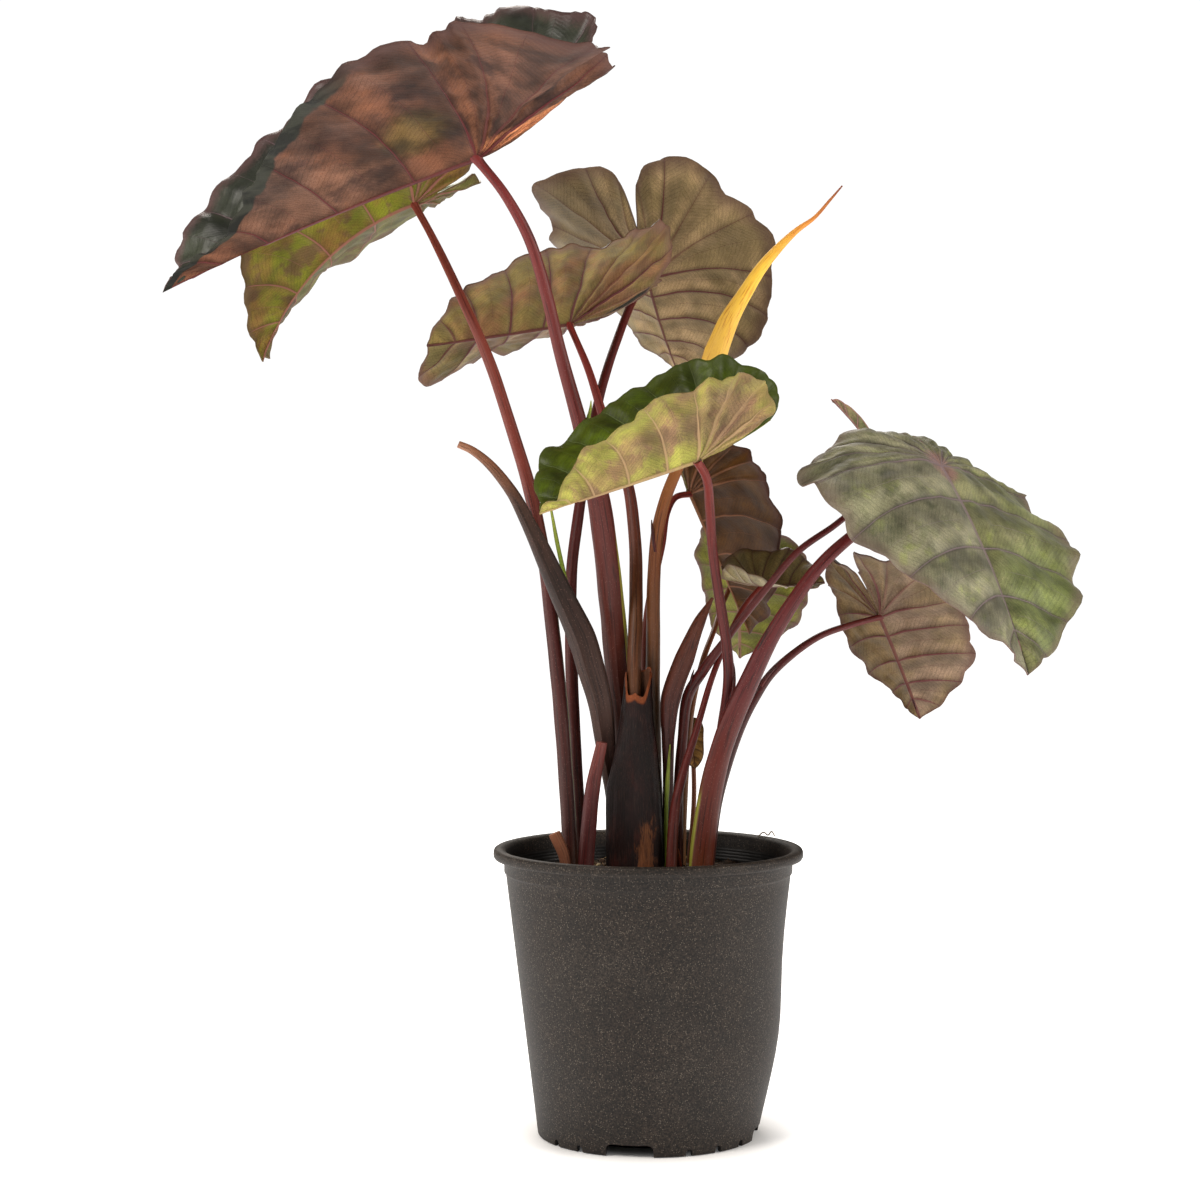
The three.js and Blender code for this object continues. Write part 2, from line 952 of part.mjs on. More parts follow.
// A place on the margin's outline: share 0 is the tip, share 1 the notch
function marginAt(share) {
  const places = MARGIN;
  const last = places.length - 1;
  const at = share * last;
  const before = Math.min(last - 1, Math.floor(at));
  const t = at - before;
  const corner = (i, axis) => {
    if (i < 0) return 2 * places[0][axis] - places[1][axis];
    if (i > last) return 2 * places[last][axis] - places[last - 1][axis];
    return places[i][axis];
  };
  return [0, 1].map((axis) => {
    const [a, b, c, d] = [-1, 0, 1, 2].map((step) => corner(before + step, axis));
    const curve = 2 * b + (c - a) * t + (2 * a - 5 * b + 4 * c - d) * t * t;
    return (curve + (3 * b - a - 3 * c + d) * t ** 3) / 2;
  });
}

const LOBE_END = 11 / 13;

// Local changes of the margin. Each nudge is side, share, spread, way out and way up.
function nudged(leaf, side, share, which) {
  const ends = Math.min(1, share / 0.08) * Math.min(1, (1 - share) / 0.14);
  let sum = 0;
  for (const nudge of leaf.nudges || []) {
    if (nudge[0] === side) {
      sum += nudge[which] * ends * Math.exp(-(((share - nudge[1]) / nudge[2]) ** 2));
    }
  }
  return sum;
}

// A place on the flat blade: share runs along the margin, reach from the midrib out to it
function flatPlace(leaf, side, share, reach) {
  const [along, across] = marginAt(share);
  const ahead = Math.max(0, along);
  const width = side > 0 ? leaf.left : leaf.right;
  const lobe = leaf.lobe * (1 + side * leaf.uneven);
  let p = along >= 0 ? along * leaf.tip : along * lobe;
  if (share > LOBE_END) {
    const [end] = marginAt(LOBE_END);
    const [notch] = marginAt(1);
    const part = (along - end) / (notch - end);
    p = end * lobe + part * (-leaf.notch * leaf.lobe - end * lobe);
  }
  const q = (across + leaf.full * 4 * ahead * ahead * (1 - ahead)) * 2 * width;
  const start = ahead > 0 ? leaf.tip * 0.9 * ahead ** 1.35 : 0;
  const grown = 1 + nudged(leaf, side, share, 3) / Math.hypot(p - start, q);
  return [start + (p - start) * grown * reach, side * q * grown * reach];
}

// How far the wavy margin lifts a place off the plain blade
function waveLift(leaf, side, share, reach) {
  const ends = Math.min(1, share / 0.08) * Math.min(1, (1 - share) / 0.14);
  const turn = 2 * Math.PI * share;
  const slow = Math.sin(turn * leaf.waves + leaf.phase + (side > 0 ? 0 : 2.4));
  const quick = Math.sin(turn * (leaf.waves * 1.9) + 2.3 * leaf.phase + (side > 0 ? 1.1 : 0));
  const waved = leaf.wave * reach ** 3 * ends * (0.68 * slow + 0.32 * quick);
  return waved + nudged(leaf, side, share, 4) * reach ** 2;
}

// The flat place folded, curled, bent and set at its hub
function bentPlace(leaf, p, q, side, lift) {
  const left = side > 0;
  const width = left ? leaf.left : leaf.right;
  const opening = leaf.open - (left ? 0 : leaf.openRight);
  const lobeFold = (left ? leaf.lobeLeft : leaf.lobeRight) || 0;
  const back = Math.min(1, Math.max(0, -p / leaf.lobe));
  const sideFold = left ? leaf.foldLeft : leaf.foldRight;
  const fold = radians(sideFold + (opening * p) / leaf.tip + lobeFold * back);
  const curl = radians(left ? leaf.curlLeft : leaf.curlRight) / width || 1e-6;
  const out = Math.abs(q);
  const lean = fold + curl * out;
  let y = side * ((Math.sin(lean) - Math.sin(fold)) / curl - Math.sin(lean) * lift);
  let z = (Math.cos(fold) - Math.cos(lean)) / curl + Math.cos(lean) * lift;
  const twist = (radians(leaf.twist) * p) / leaf.tip;
  const turnedY = y * Math.cos(twist) - z * Math.sin(twist);
  z = y * Math.sin(twist) + z * Math.cos(twist);
  y = turnedY + (p > 0 ? leaf.sweep * (p / leaf.tip) ** 2 : 0);
  const bend = (p >= 0 ? -radians(leaf.droop) / leaf.tip : radians(leaf.rise) / leaf.lobe) || 1e-6;
  const run = Math.abs(p);
  const ahead = Math.sign(p || 1) * (Math.sin(bend * run) / bend);
  const up = (1 - Math.cos(bend * run)) / bend;
  const slope = Math.sign(p || 1) * bend * run;
  const x = ahead - Math.sin(slope) * z;
  z = up + Math.cos(slope) * z;
  const [heading, pitch, roll] = [leaf.heading, leaf.pitch, leaf.roll].map(radians);
  const cp = Math.cos(pitch);
  const sp = Math.sin(pitch);
  const forward = new THREE.Vector3(Math.cos(heading) * cp, Math.sin(heading) * cp, sp);
  const level = new THREE.Vector3(-Math.sin(heading), Math.cos(heading), 0);
  const above = new THREE.Vector3().crossVectors(forward, level);
  const sideways = level.clone().multiplyScalar(Math.cos(roll));
  sideways.addScaledVector(above, Math.sin(roll));
  const normal = above.multiplyScalar(Math.cos(roll)).addScaledVector(level, -Math.sin(roll));
  return new THREE.Vector3(...leaf.hub)
    .addScaledVector(forward, x)
    .addScaledVector(sideways, y)
    .addScaledVector(normal, z);
}

// The blade as one closed skin: the same triangles on both faces, raised ribs on the underside
function bladeGeometry(leaf, above = BLADE / 2, below = BLADE / 2, ribs = 1) {
  const spokes = leaf.small ? 12 : 18;
  const stops = leaf.small ? SMALL_RING_STOPS : RING_STOPS;
  const places = [];
  const raised = [];
  const known = new Map();
  const triangles = [];
  const vertex = (side, spoke, ring) => {
    const share = spoke / spokes;
    const reach = stops[ring];
    const [p, q] = flatPlace(leaf, side, share, reach);
    const key = `${Math.round(p * 1e3)},${Math.round(q * 1e3)}`;
    if (!known.has(key)) {
      known.set(key, places.length);
      const middle = Math.abs(q) < 1e-6;
      const lift = middle ? 0 : waveLift(leaf, side, share, reach);
      places.push(bentPlace(leaf, p, q, side, lift));
      let rib = 0;
      if (middle && p >= 0) rib = MIDRIB * (1 - (0.8 * p) / leaf.tip);
      if (!middle && spoke % 3 === 0) rib = RIB * (1 - reach) ** 0.7;
      raised.push(rib * Math.min(1, leaf.tip / 90));
    }
    return known.get(key);
  };
  for (const side of [1, -1]) {
    for (let spoke = 0; spoke < spokes; spoke += 1) {
      for (let ring = 0; ring < stops.length - 1; ring += 1) {
        const a = vertex(side, spoke, ring);
        const b = vertex(side, spoke, ring + 1);
        const c = vertex(side, spoke + 1, ring + 1);
        const d = vertex(side, spoke + 1, ring);
        for (const [one, two, three] of [[a, b, c], [a, c, d]]) {
          if (one !== two && two !== three && three !== one) {
            triangles.push(side > 0 ? [one, two, three] : [one, three, two]);
          }
        }
      }
    }
  }
  const normals = places.map(() => new THREE.Vector3());
  const edges = new Map();
  for (const [a, b, c] of triangles) {
    const one = places[b].clone().sub(places[a]);
    const two = places[c].clone().sub(places[a]);
    const area = one.cross(two);
    for (const corner of [a, b, c]) normals[corner].add(area);
    for (const [from, to] of [[a, b], [b, c], [c, a]]) {
      const back = `${to},${from}`;
      if (edges.has(back)) edges.delete(back);
      else edges.set(`${from},${to}`, [from, to]);
    }
  }
  const count = places.length;
  const positions = new Float32Array(count * 6);
  for (let i = 0; i < count; i += 1) {
    const normal = normals[i].normalize();
    const top = places[i].clone().addScaledVector(normal, above);
    const bottom = places[i].clone().addScaledVector(normal, -below - raised[i] * ribs);
    positions.set(top.toArray(), i * 3);
    positions.set(bottom.toArray(), (count + i) * 3);
  }
  const index = [];
  for (const [a, b, c] of triangles) {
    index.push(a, b, c, count + a, count + c, count + b);
  }
  for (const [from, to] of edges.values()) {
    index.push(from, count + from, count + to, from, count + to, to);
  }
  const geometry = new THREE.BufferGeometry();
  geometry.setAttribute('position', new THREE.BufferAttribute(positions, 3));
  geometry.setIndex(index);
  return geometry;
}

const LOOKS = {
  pot: { color: 0x2a292b, roughness: 0.55 },
  soil: { color: 0x1d1813, roughness: 1 },
  trunk: { color: 0x2b1d20, roughness: 0.5 },
  spathe: { color: 0xd59a3a, roughness: 0.55 },
  olive: { color: 0x5a3b2a, roughness: 0.5 },
  stalk: { color: 0x5c2530, roughness: 0.45 },
  stump: { color: 0x3b2528, roughness: 0.6 },
  green: { color: 0x7c8440, roughness: 0.6 },
  brown: { color: 0x5e4c3e, roughness: 0.6 },
  grey: { color: 0x5c6650, roughness: 0.5 },
  withered: { color: 0x7d4f2c, roughness: 0.8 },
};
const BLADE_LOOKS = {
  leaf_2: 'green',
  leaf_5: 'green',
  leaf_9: 'grey',
  leaf_10: 'green',
  leaf_11: 'withered',
};

function named(name, manifold, look) {
  const material = new THREE.MeshStandardMaterial({ ...LOOKS[look], metalness: 0 });
  const mesh = new THREE.Mesh(geometryOf(manifold), material);
  mesh.name = name;
  return mesh;
}

const plant = new THREE.Group();
const stems = [];

for (const [name, leaf] of Object.entries(LEAVES)) {
  const number = name.split('_')[1];
  const stations = STALKS[`stalk_${number}`];
  const blade = solid(bladeGeometry(leaf));
  const room = solid(bladeGeometry(leaf, 2.2, BLADE / 2 + GAP));
  const stalk = solid(stemGeometry(stations)).subtract(room);
  plant.add(named(name, blade, BLADE_LOOKS[name] || 'brown'));
  plant.add(named(`stalk_${number}`, stalk, 'stalk'));
  if (number !== '3') {
    stems.push(solid(stemGeometry(stations, GAP)));
  }
}

for (const [name, stations] of Object.entries(SPEARS)) {
  const look = { spathe: 'spathe', spathe_stalk: 'olive' }[name] || 'stump';
  plant.add(named(name, solid(stemGeometry(stations)), look));
  if (name !== 'spathe') {
    stems.push(solid(stemGeometry(stations, GAP)));
  }
}

const trunk = makeTrunk(solid(stemGeometry(STALKS.stalk_3, GAP)));
plant.add(named('sheath_trunk', trunk, 'trunk'));
stems.push(solid(trunkGeometry(GAP)));

plant.add(named('soil', makeSoil(stems), 'soil'));
plant.add(named('pot', makePot(), 'pot'));

export default plant;
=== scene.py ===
# %% [markdown]
# # A potted colocasia
# The plant is a clump of big veined leaves on long dark stalks, in a plain black grower's pot.
# The fixed frame already holds a plain solid for every leaf, stalk, the soil and the pot. Each of
# them is remade here with finer skin, veins and colour, in the same place and of the same form.
# A plant is easier to think of in millimetres, so the tables are in millimetres, and one constant
# turns them into metres when points go into a mesh.

# %% Load the fixed frame and note its box
import math
import bpy
import numpy as np
from mathutils import Matrix, Vector, noise
from mathutils.bvhtree import BVHTree


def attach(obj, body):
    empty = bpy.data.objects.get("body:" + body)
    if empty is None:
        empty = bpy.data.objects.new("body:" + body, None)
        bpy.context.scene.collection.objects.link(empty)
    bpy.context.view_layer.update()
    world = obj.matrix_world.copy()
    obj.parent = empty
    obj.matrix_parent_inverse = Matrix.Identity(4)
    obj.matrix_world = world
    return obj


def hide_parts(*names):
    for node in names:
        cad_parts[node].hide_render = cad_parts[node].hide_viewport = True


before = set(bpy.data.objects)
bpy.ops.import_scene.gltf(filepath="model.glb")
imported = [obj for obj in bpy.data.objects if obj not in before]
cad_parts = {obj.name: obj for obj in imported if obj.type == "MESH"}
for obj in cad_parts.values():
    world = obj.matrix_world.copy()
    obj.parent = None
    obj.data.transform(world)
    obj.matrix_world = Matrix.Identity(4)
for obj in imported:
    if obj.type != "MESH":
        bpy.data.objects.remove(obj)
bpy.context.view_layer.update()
MM = 0.001
print("nodes in the frame:", len(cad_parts))

# %% [markdown]
# Every piece starts from a mesh primitive. Operators act on all that is selected, and loading the
# frame leaves its nodes selected, so a small helper clears the selection before each new piece.
# Other helpers write numbers on a mesh's points, where materials can read them, weld the seam of a
# rolled grid, close its open ends, and join many small pieces.

# %% Helpers that start, weld, close and join pieces
WELD_GAP = 1e-6


def deselect():
    bpy.ops.object.select_all(action="DESELECT")


def work_on(piece):
    deselect()
    piece.select_set(True)
    bpy.context.view_layer.objects.active = piece


def named(name):
    piece = bpy.context.object
    piece.name = name
    piece.data.name = name
    return piece


def new_grid(name, columns, rows):
    deselect()
    bpy.ops.mesh.primitive_grid_add(x_subdivisions=columns, y_subdivisions=rows, size=2)
    return named(name)


def points_of(piece):
    flat = np.empty(len(piece.data.vertices) * 3)
    piece.data.vertices.foreach_get("co", flat)
    return flat.reshape(-1, 3)


def move_points(piece, places):
    piece.data.vertices.foreach_set("co", (np.asarray(places) * MM).ravel())
    piece.data.update()


def write_numbers(piece, **columns):
    for name, values in columns.items():
        layer = piece.data.attributes.new(name, "FLOAT", "POINT")
        layer.data.foreach_set("value", np.asarray(values, dtype=np.float32))


def write_vectors(piece, **columns):
    for name, values in columns.items():
        layer = piece.data.attributes.new(name, "FLOAT_VECTOR", "POINT")
        layer.data.foreach_set("vector", np.asarray(values, dtype=np.float32).ravel())


def weld(piece):
    work_on(piece)
    bpy.ops.object.mode_set(mode="EDIT")
    bpy.ops.mesh.select_all(action="SELECT")
    bpy.ops.mesh.remove_doubles(threshold=WELD_GAP)
    bpy.ops.object.mode_set(mode="OBJECT")


def fill_openings(piece):
    work_on(piece)
    bpy.ops.object.mode_set(mode="EDIT")
    bpy.ops.mesh.select_all(action="DESELECT")
    bpy.ops.mesh.select_non_manifold()
    bpy.ops.mesh.edge_face_add()
    bpy.ops.mesh.select_all(action="SELECT")
    bpy.ops.mesh.normals_make_consistent(inside=False)
    bpy.ops.object.mode_set(mode="OBJECT")


def close_tube(piece):
    weld(piece)
    fill_openings(piece)
    bpy.ops.object.shade_smooth_by_angle(angle=math.radians(50))


def join(pieces, name):
    deselect()
    for piece in pieces:
        piece.select_set(True)
    bpy.context.view_layer.objects.active = pieces[0]
    bpy.ops.object.join()
    return named(name)


def smooth_share(low, high, value):
    share = np.clip((value - low) / (high - low), 0, 1)
    return share * share * (3 - 2 * share)


# %% [markdown]
# The camera stands where the photographer's did: two metres in front of the pot, a little under
# half a metre up, looking down by two degrees. A long lens keeps the pot's sides nearly parallel.

# %% Camera
CAMERA_PLACE = (-0.036, -2.0, 0.470)
CAMERA_DOWN = 2.05
LENS = 80.67

deselect()
bpy.ops.object.camera_add(
    location=CAMERA_PLACE, rotation=(math.radians(90 - CAMERA_DOWN), 0, 0)
)
camera = named("camera")
camera.data.sensor_width = 36
camera.data.lens = LENS
camera.data.clip_end = 60
bpy.context.scene.camera = camera
bpy.context.scene.view_settings.view_transform = "Standard"
bpy.context.scene.view_settings.look = "None"
print("camera at", tuple(round(value, 3) for value in camera.location))

# %% [markdown]
# The studio is all white. The world is white where the camera sees it and dimmer as a light, so
# that the leaves keep their shading. A large soft light at the upper left is the main one. Two
# more stand low at the sides and put a long shine on the stalks, and one behind the plant makes
# the thin leaves glow.

# %% World and lights
WORLD_SEEN = 1.05
WORLD_LIGHT = 0.2
WARM = (1, 0.94, 0.87)

world = bpy.data.worlds.new("white_studio")
bpy.context.scene.world = world
world.use_nodes = True
sky = world.node_tree.nodes
sky.clear()
seen = sky.new("ShaderNodeBackground")
seen.inputs["Color"].default_value = (1, 1, 1, 1)
seen.inputs["Strength"].default_value = WORLD_SEEN
unseen = sky.new("ShaderNodeBackground")
unseen.inputs["Color"].default_value = (*WARM, 1)
unseen.inputs["Strength"].default_value = WORLD_LIGHT
ray = sky.new("ShaderNodeLightPath")
choice = sky.new("ShaderNodeMixShader")
sky_out = sky.new("ShaderNodeOutputWorld")
link = world.node_tree.links.new
link(ray.outputs["Is Camera Ray"], choice.inputs[0])
link(unseen.outputs[0], choice.inputs[1])
link(seen.outputs[0], choice.inputs[2])
link(choice.outputs[0], sky_out.inputs["Surface"])

LIGHTS = [
    ("key_light", (-1.25, -1.35, 2.15), 0.9, 42),
    ("right_light", (1.9, -0.75, 1.0), 1.2, 29),
    ("left_light", (-1.9, -0.25, 0.6), 1.0, 11),
    ("back_light", (-0.3, 1.7, 1.8), 1.2, 26),
]
for light_name, place, width, power in LIGHTS:
    deselect()
    bpy.ops.object.light_add(type="AREA", location=place)
    light = named(light_name)
    light.data.size = width
    light.data.energy = power
    light.data.color = WARM
    aim = Vector((0, 0, 0.45)) - Vector(place)
    light.rotation_euler = aim.to_track_quat("-Z", "Y").to_euler()
print("lights:", len(LIGHTS))

# %% [markdown]
# Materials are laid out as nodes. A bench with a few short words keeps the layouts readable: it
# makes a node, joins its inputs, and hands back its output. Fixed numbers go straight into the
# shader's own sockets, and only what varies over the surface is linked. Colours are written as
# they look on a screen, from 0 to 255, and turned into the linear ones that light needs.

# %% A bench for laying out materials
def tint(red, green, blue):
    shades = []
    for value in (red, green, blue):
        share = value / 255
        shades.append(share / 12.92 if share <= 0.04045 else ((share + 0.055) / 1.055) ** 2.4)
    return (*shades, 1.0)


class Bench:
    def __init__(self, name):
        self.material = bpy.data.materials.new(name)
        self.material.use_nodes = True
        self.tree = self.material.node_tree
        self.tree.nodes.clear()

    def node(self, kind, **settings):
        made = self.tree.nodes.new("ShaderNode" + kind)
        for key, value in settings.items():
            setattr(made, key, value)
        return made

    def feed(self, socket, value):
        if isinstance(value, bpy.types.NodeSocket):
            self.tree.links.new(value, socket)
        else:
            socket.default_value = value

    def math(self, operation, one, two=0.0, three=0.0, clamp=False):
        made = self.node("Math", operation=operation, use_clamp=clamp)
        for socket, value in zip(made.inputs, (one, two, three)):
            self.feed(socket, value)
        return made.outputs[0]

    def times(self, one, two):
        return self.math("MULTIPLY", one, two)

    def scaled(self, value, factor, start):
        return self.math("MULTIPLY_ADD", value, factor, start)

    def pushed(self, value, noise_here, amount):
        return self.scaled(self.math("SUBTRACT", noise_here, 0.5), amount, value)

    def span(self, value, low, high, start=0.0, end=1.0):
        made = self.node("MapRange", interpolation_type="SMOOTHSTEP")
        for socket, amount in zip(made.inputs, (value, low, high, start, end)):
            self.feed(socket, amount)
        return made.outputs[0]

    def number(self, name):
        return self.node("Attribute", attribute_name=name).outputs["Fac"]

    def vector(self, name):
        return self.node("Attribute", attribute_name=name).outputs["Vector"]

    def place(self):
        return self.node("TexCoord").outputs["Object"]

    def parts(self, vector):
        made = self.node("SeparateXYZ")
        self.feed(made.inputs[0], vector)
        return made.outputs

    def stretched(self, vector, scale):
        made = self.node("Mapping")
        made.inputs["Scale"].default_value = scale
        self.feed(made.inputs["Vector"], vector)
        return made.outputs[0]

    def speckle(self, vector, scale, detail, rough=0.5):
        made = self.node("TexNoise")
        self.feed(made.inputs["Vector"], vector)
        made.inputs["Scale"].default_value = scale
        made.inputs["Detail"].default_value = detail
        made.inputs["Roughness"].default_value = rough
        return made.outputs["Fac"]

    def cells(self, vector, scale):
        made = self.node("TexVoronoi")
        self.feed(made.inputs["Vector"], vector)
        made.inputs["Scale"].default_value = scale
        return made.outputs["Distance"]

    def blend(self, share, one, two, mode="MIX"):
        made = self.node("Mix", data_type="RGBA", blend_type=mode)
        self.feed(made.inputs[0], share)
        self.feed(made.inputs[6], one)
        self.feed(made.inputs[7], two)
        return made.outputs[2]

    def stops(self, value, stops):
        made = self.node("ValToRGB")
        ramp = made.color_ramp
        ramp.elements[0].position, ramp.elements[0].color = stops[0]
        ramp.elements[1].position, ramp.elements[1].color = stops[-1]
        for position, colour in stops[1:-1]:
            ramp.elements.new(position).color = colour
        self.feed(made.inputs[0], value)
        return made.outputs[0]

    def relief(self, height, depth, strength=1.0):
        made = self.node("Bump")
        made.inputs["Strength"].default_value = strength
        made.inputs["Distance"].default_value = depth * MM
        self.feed(made.inputs["Height"], height)
        return made.outputs[0]

    def finish(self, colour, rough, normal=None, through=0.0, sheen=0.0, specular=0.5):
        shade = self.node("BsdfPrincipled")
        self.feed(shade.inputs["Base Color"], colour)
        self.feed(shade.inputs["Roughness"], rough)
        shade.inputs["Specular IOR Level"].default_value = specular
        shade.inputs["Sheen Weight"].default_value = sheen
        if normal is not None:
            self.feed(shade.inputs["Normal"], normal)
        made = shade.outputs[0]
        if through > 0:
            lit = self.node("BsdfTranslucent")
            self.feed(lit.inputs["Color"], colour)
            both = self.node("MixShader")
            both.inputs[0].default_value = through
            self.feed(both.inputs[1], made)
            self.feed(both.inputs[2], lit.outputs[0])
            made = both.outputs[0]
        self.feed(self.node("OutputMaterial").inputs["Surface"], made)
        return self.material


# %% [markdown]
# The floor is a plain white sheet that runs far behind the plant. Its paint glows a little, which
# is how a white studio sheet looks when it is lit evenly. Under the pot the glow is held back, so
# that the notches in the foot look dark and the pot stands in a soft shade.

# %% Floor
FLOOR_SIZE = 16
FLOOR_GAP = 0.0005
FLOOR_GLOW = 0.97
SHADE_START = 0.06
SHADE_END = 0.15

deselect()
bpy.ops.mesh.primitive_plane_add(size=FLOOR_SIZE, location=(0, 0, -FLOOR_GAP))
floor = named("floor")
bench = Bench("white_sheet")
from_pot = bench.node("VectorMath", operation="LENGTH")
bench.feed(from_pot.inputs[0], bench.place())
lit_share = bench.span(from_pot.outputs["Value"], SHADE_START, SHADE_END)
bench.finish((0.86, 0.86, 0.86, 1), 0.9, specular=0.1)
sheet_paint = next(node for node in bench.tree.nodes if node.type == "BSDF_PRINCIPLED")
glow_colour = bench.blend(lit_share, (0, 0, 0, 1), (1, 1, 1, 1))
bench.feed(sheet_paint.inputs["Emission Color"], glow_colour)
sheet_paint.inputs["Emission Strength"].default_value = FLOOR_GLOW
floor.data.materials.append(bench.material)
print("floor is", FLOOR_SIZE, "m wide")

# %% [markdown]
# The pot is one thin moulded shell: a rolled lip, a shallow band, a tapered wall, a foot ring and a
# raised drain channel round a flat disc. It could be turned with spin. Here one circle is extruded
# and resized ring by ring along the profile, as hands would do it, because that keeps each edge
# loop where the mould has its edge. The mould's small roundings are points of the profile.

# %% Pot profile
POT_HEIGHT = 214
RIM_RADIUS = 115.5
LIP_DEPTH = 8
BAND_RADIUS = 107.5
BAND_BOTTOM = 195
BAND_STEP = 1.2
FOOT_RADIUS = 82.5
WALL = 1.8
FLOOR_THICK = 2.2
DISC_RADIUS = 54
CHANNEL_RISE = 10
SKIRT = 3
POT_SIDES = 144
BULGE = 6
BULGE_HEIGHT = 75
BULGE_SPREAD = 50


def wall_radius(height):
    return FOOT_RADIUS + (BAND_RADIUS - BAND_STEP - FOOT_RADIUS) * height / BAND_BOTTOM


UNDER_LIP = POT_HEIGHT - LIP_DEPTH
CHANNEL_TOP = CHANNEL_RISE + FLOOR_THICK
OUTER_HEIGHTS = [6, 14, 28, 44, 60, 75, 90, 110, 130, 150, 172, 188]
INNER_HEIGHTS = [190, 172, 150, 130, 110, 90, 75, 60, 44, 28]
pot_profile = [
    (DISC_RADIUS - 8, 0),
    (DISC_RADIUS - 0.6, 0),
    (DISC_RADIUS, 0.5),
    (DISC_RADIUS + 2.2, CHANNEL_RISE - 0.8),
    (DISC_RADIUS + 3.2, CHANNEL_RISE),
    (FOOT_RADIUS - SKIRT - 2.6, CHANNEL_RISE),
    (FOOT_RADIUS - SKIRT - 1.6, CHANNEL_RISE - 0.8),
    (FOOT_RADIUS - SKIRT - 0.2, 0.5),
    (FOOT_RADIUS - SKIRT + 0.4, 0),
    (FOOT_RADIUS - 0.6, 0),
    (FOOT_RADIUS, 0.6),
]
pot_profile += [(wall_radius(height), height) for height in OUTER_HEIGHTS]
pot_profile += [
    (wall_radius(BAND_BOTTOM) - 0.1, BAND_BOTTOM - 0.8),
    (wall_radius(BAND_BOTTOM) + 0.3, BAND_BOTTOM),
    (BAND_RADIUS - 0.3, BAND_BOTTOM + 0.7),
    (BAND_RADIUS, BAND_BOTTOM + 1.4),
    (BAND_RADIUS + 0.1, UNDER_LIP - 0.8),
    (BAND_RADIUS + 0.6, UNDER_LIP - 0.1),
    (RIM_RADIUS - 2.2, UNDER_LIP),
    (RIM_RADIUS - 0.9, UNDER_LIP + 0.5),
    (RIM_RADIUS - 0.1, UNDER_LIP + 1.8),
    (RIM_RADIUS, UNDER_LIP + 3.2),
    (RIM_RADIUS - 0.1, POT_HEIGHT - 2.6),
    (RIM_RADIUS - 0.7, POT_HEIGHT - 1.1),
    (RIM_RADIUS - 1.9, POT_HEIGHT - 0.3),
    (RIM_RADIUS - 3.4, POT_HEIGHT),
    (RIM_RADIUS - 5.4, POT_HEIGHT - 0.2),
    (BAND_RADIUS - 0.2, POT_HEIGHT - 1.3),
    (BAND_RADIUS - 1.5, POT_HEIGHT - 3.4),
    (BAND_RADIUS - WALL, UNDER_LIP - 2),
]
pot_profile += [(wall_radius(height) - WALL, height) for height in INNER_HEIGHTS]
pot_profile += [
    (wall_radius(CHANNEL_TOP) - WALL, CHANNEL_TOP + 0.6),
    (wall_radius(CHANNEL_TOP) - WALL - 0.8, CHANNEL_TOP),
    (DISC_RADIUS + 1.4, CHANNEL_TOP),
    (DISC_RADIUS - 1.2, FLOOR_THICK + 0.6),
    (DISC_RADIUS - 2.2, FLOOR_THICK),
    (DISC_RADIUS - 10, FLOOR_THICK),
]
print("rings in the pot's profile:", len(pot_profile))

# %% Extrude the pot ring by ring
deselect()
bpy.ops.mesh.primitive_circle_add(
    vertices=POT_SIDES, radius=pot_profile[0][0] * MM, fill_type="NGON", location=(0, 0, 0)
)
pot = named("grower_pot")
bpy.ops.object.mode_set(mode="EDIT")
bpy.ops.mesh.select_all(action="SELECT")
bpy.ops.mesh.delete(type="ONLY_FACE")
bpy.ops.mesh.select_all(action="SELECT")
for (before, low), (after, high) in zip(pot_profile, pot_profile[1:]):
    bpy.ops.mesh.extrude_edges_move(TRANSFORM_OT_translate={"value": (0, 0, (high - low) * MM)})
    grow = after / before
    bpy.ops.transform.resize(value=(grow, grow, 1), center_override=(0, 0, high * MM))
bpy.ops.mesh.edge_face_add()
bpy.ops.object.mode_set(mode="OBJECT")
fill_openings(pot)
print("pot faces before its notches:", len(pot.data.polygons))

# %% [markdown]
# The soft wall swells a little on one side, where the wet soil pushes it out. The same push is used
# for the soil's edge, so the two stay together. The notches in the foot and the drain holes are
# boxes and cylinders that are cut out with one Boolean modifier.

# %% Bulge, notches and drain holes
def bulged(places, inner=60):
    x, y, z = places.T
    radius = np.hypot(x, y)
    facing = np.maximum(0, x / np.maximum(radius, 1e-6)) ** 2
    share = np.exp(-(((z - BULGE_HEIGHT) / BULGE_SPREAD) ** 2)) * smooth_share(1, 24, z)
    scale = np.where(radius > inner, 1 + BULGE * share * facing / np.maximum(radius, 1e-6), 1)
    return np.stack([x * scale, y * scale, z], axis=1)


move_points(pot, bulged(points_of(pot) / MM))

WIDE_NOTCH = 35
WIDE_ROUNDING = 4.5
WIDE_NOTCH_COUNT = 4
WIDE_NOTCH_START = -100.5
SMALL_NOTCH = 5
SMALL_NOTCH_RISE = 5
SMALL_ROUNDING = 2.2
SMALL_NOTCHES = [-145, -128, -70, -53, -36, 52, 142]
DRAIN_COUNT = 8
DRAIN_RADIUS = 7
DRAIN_CIRCLE = 67

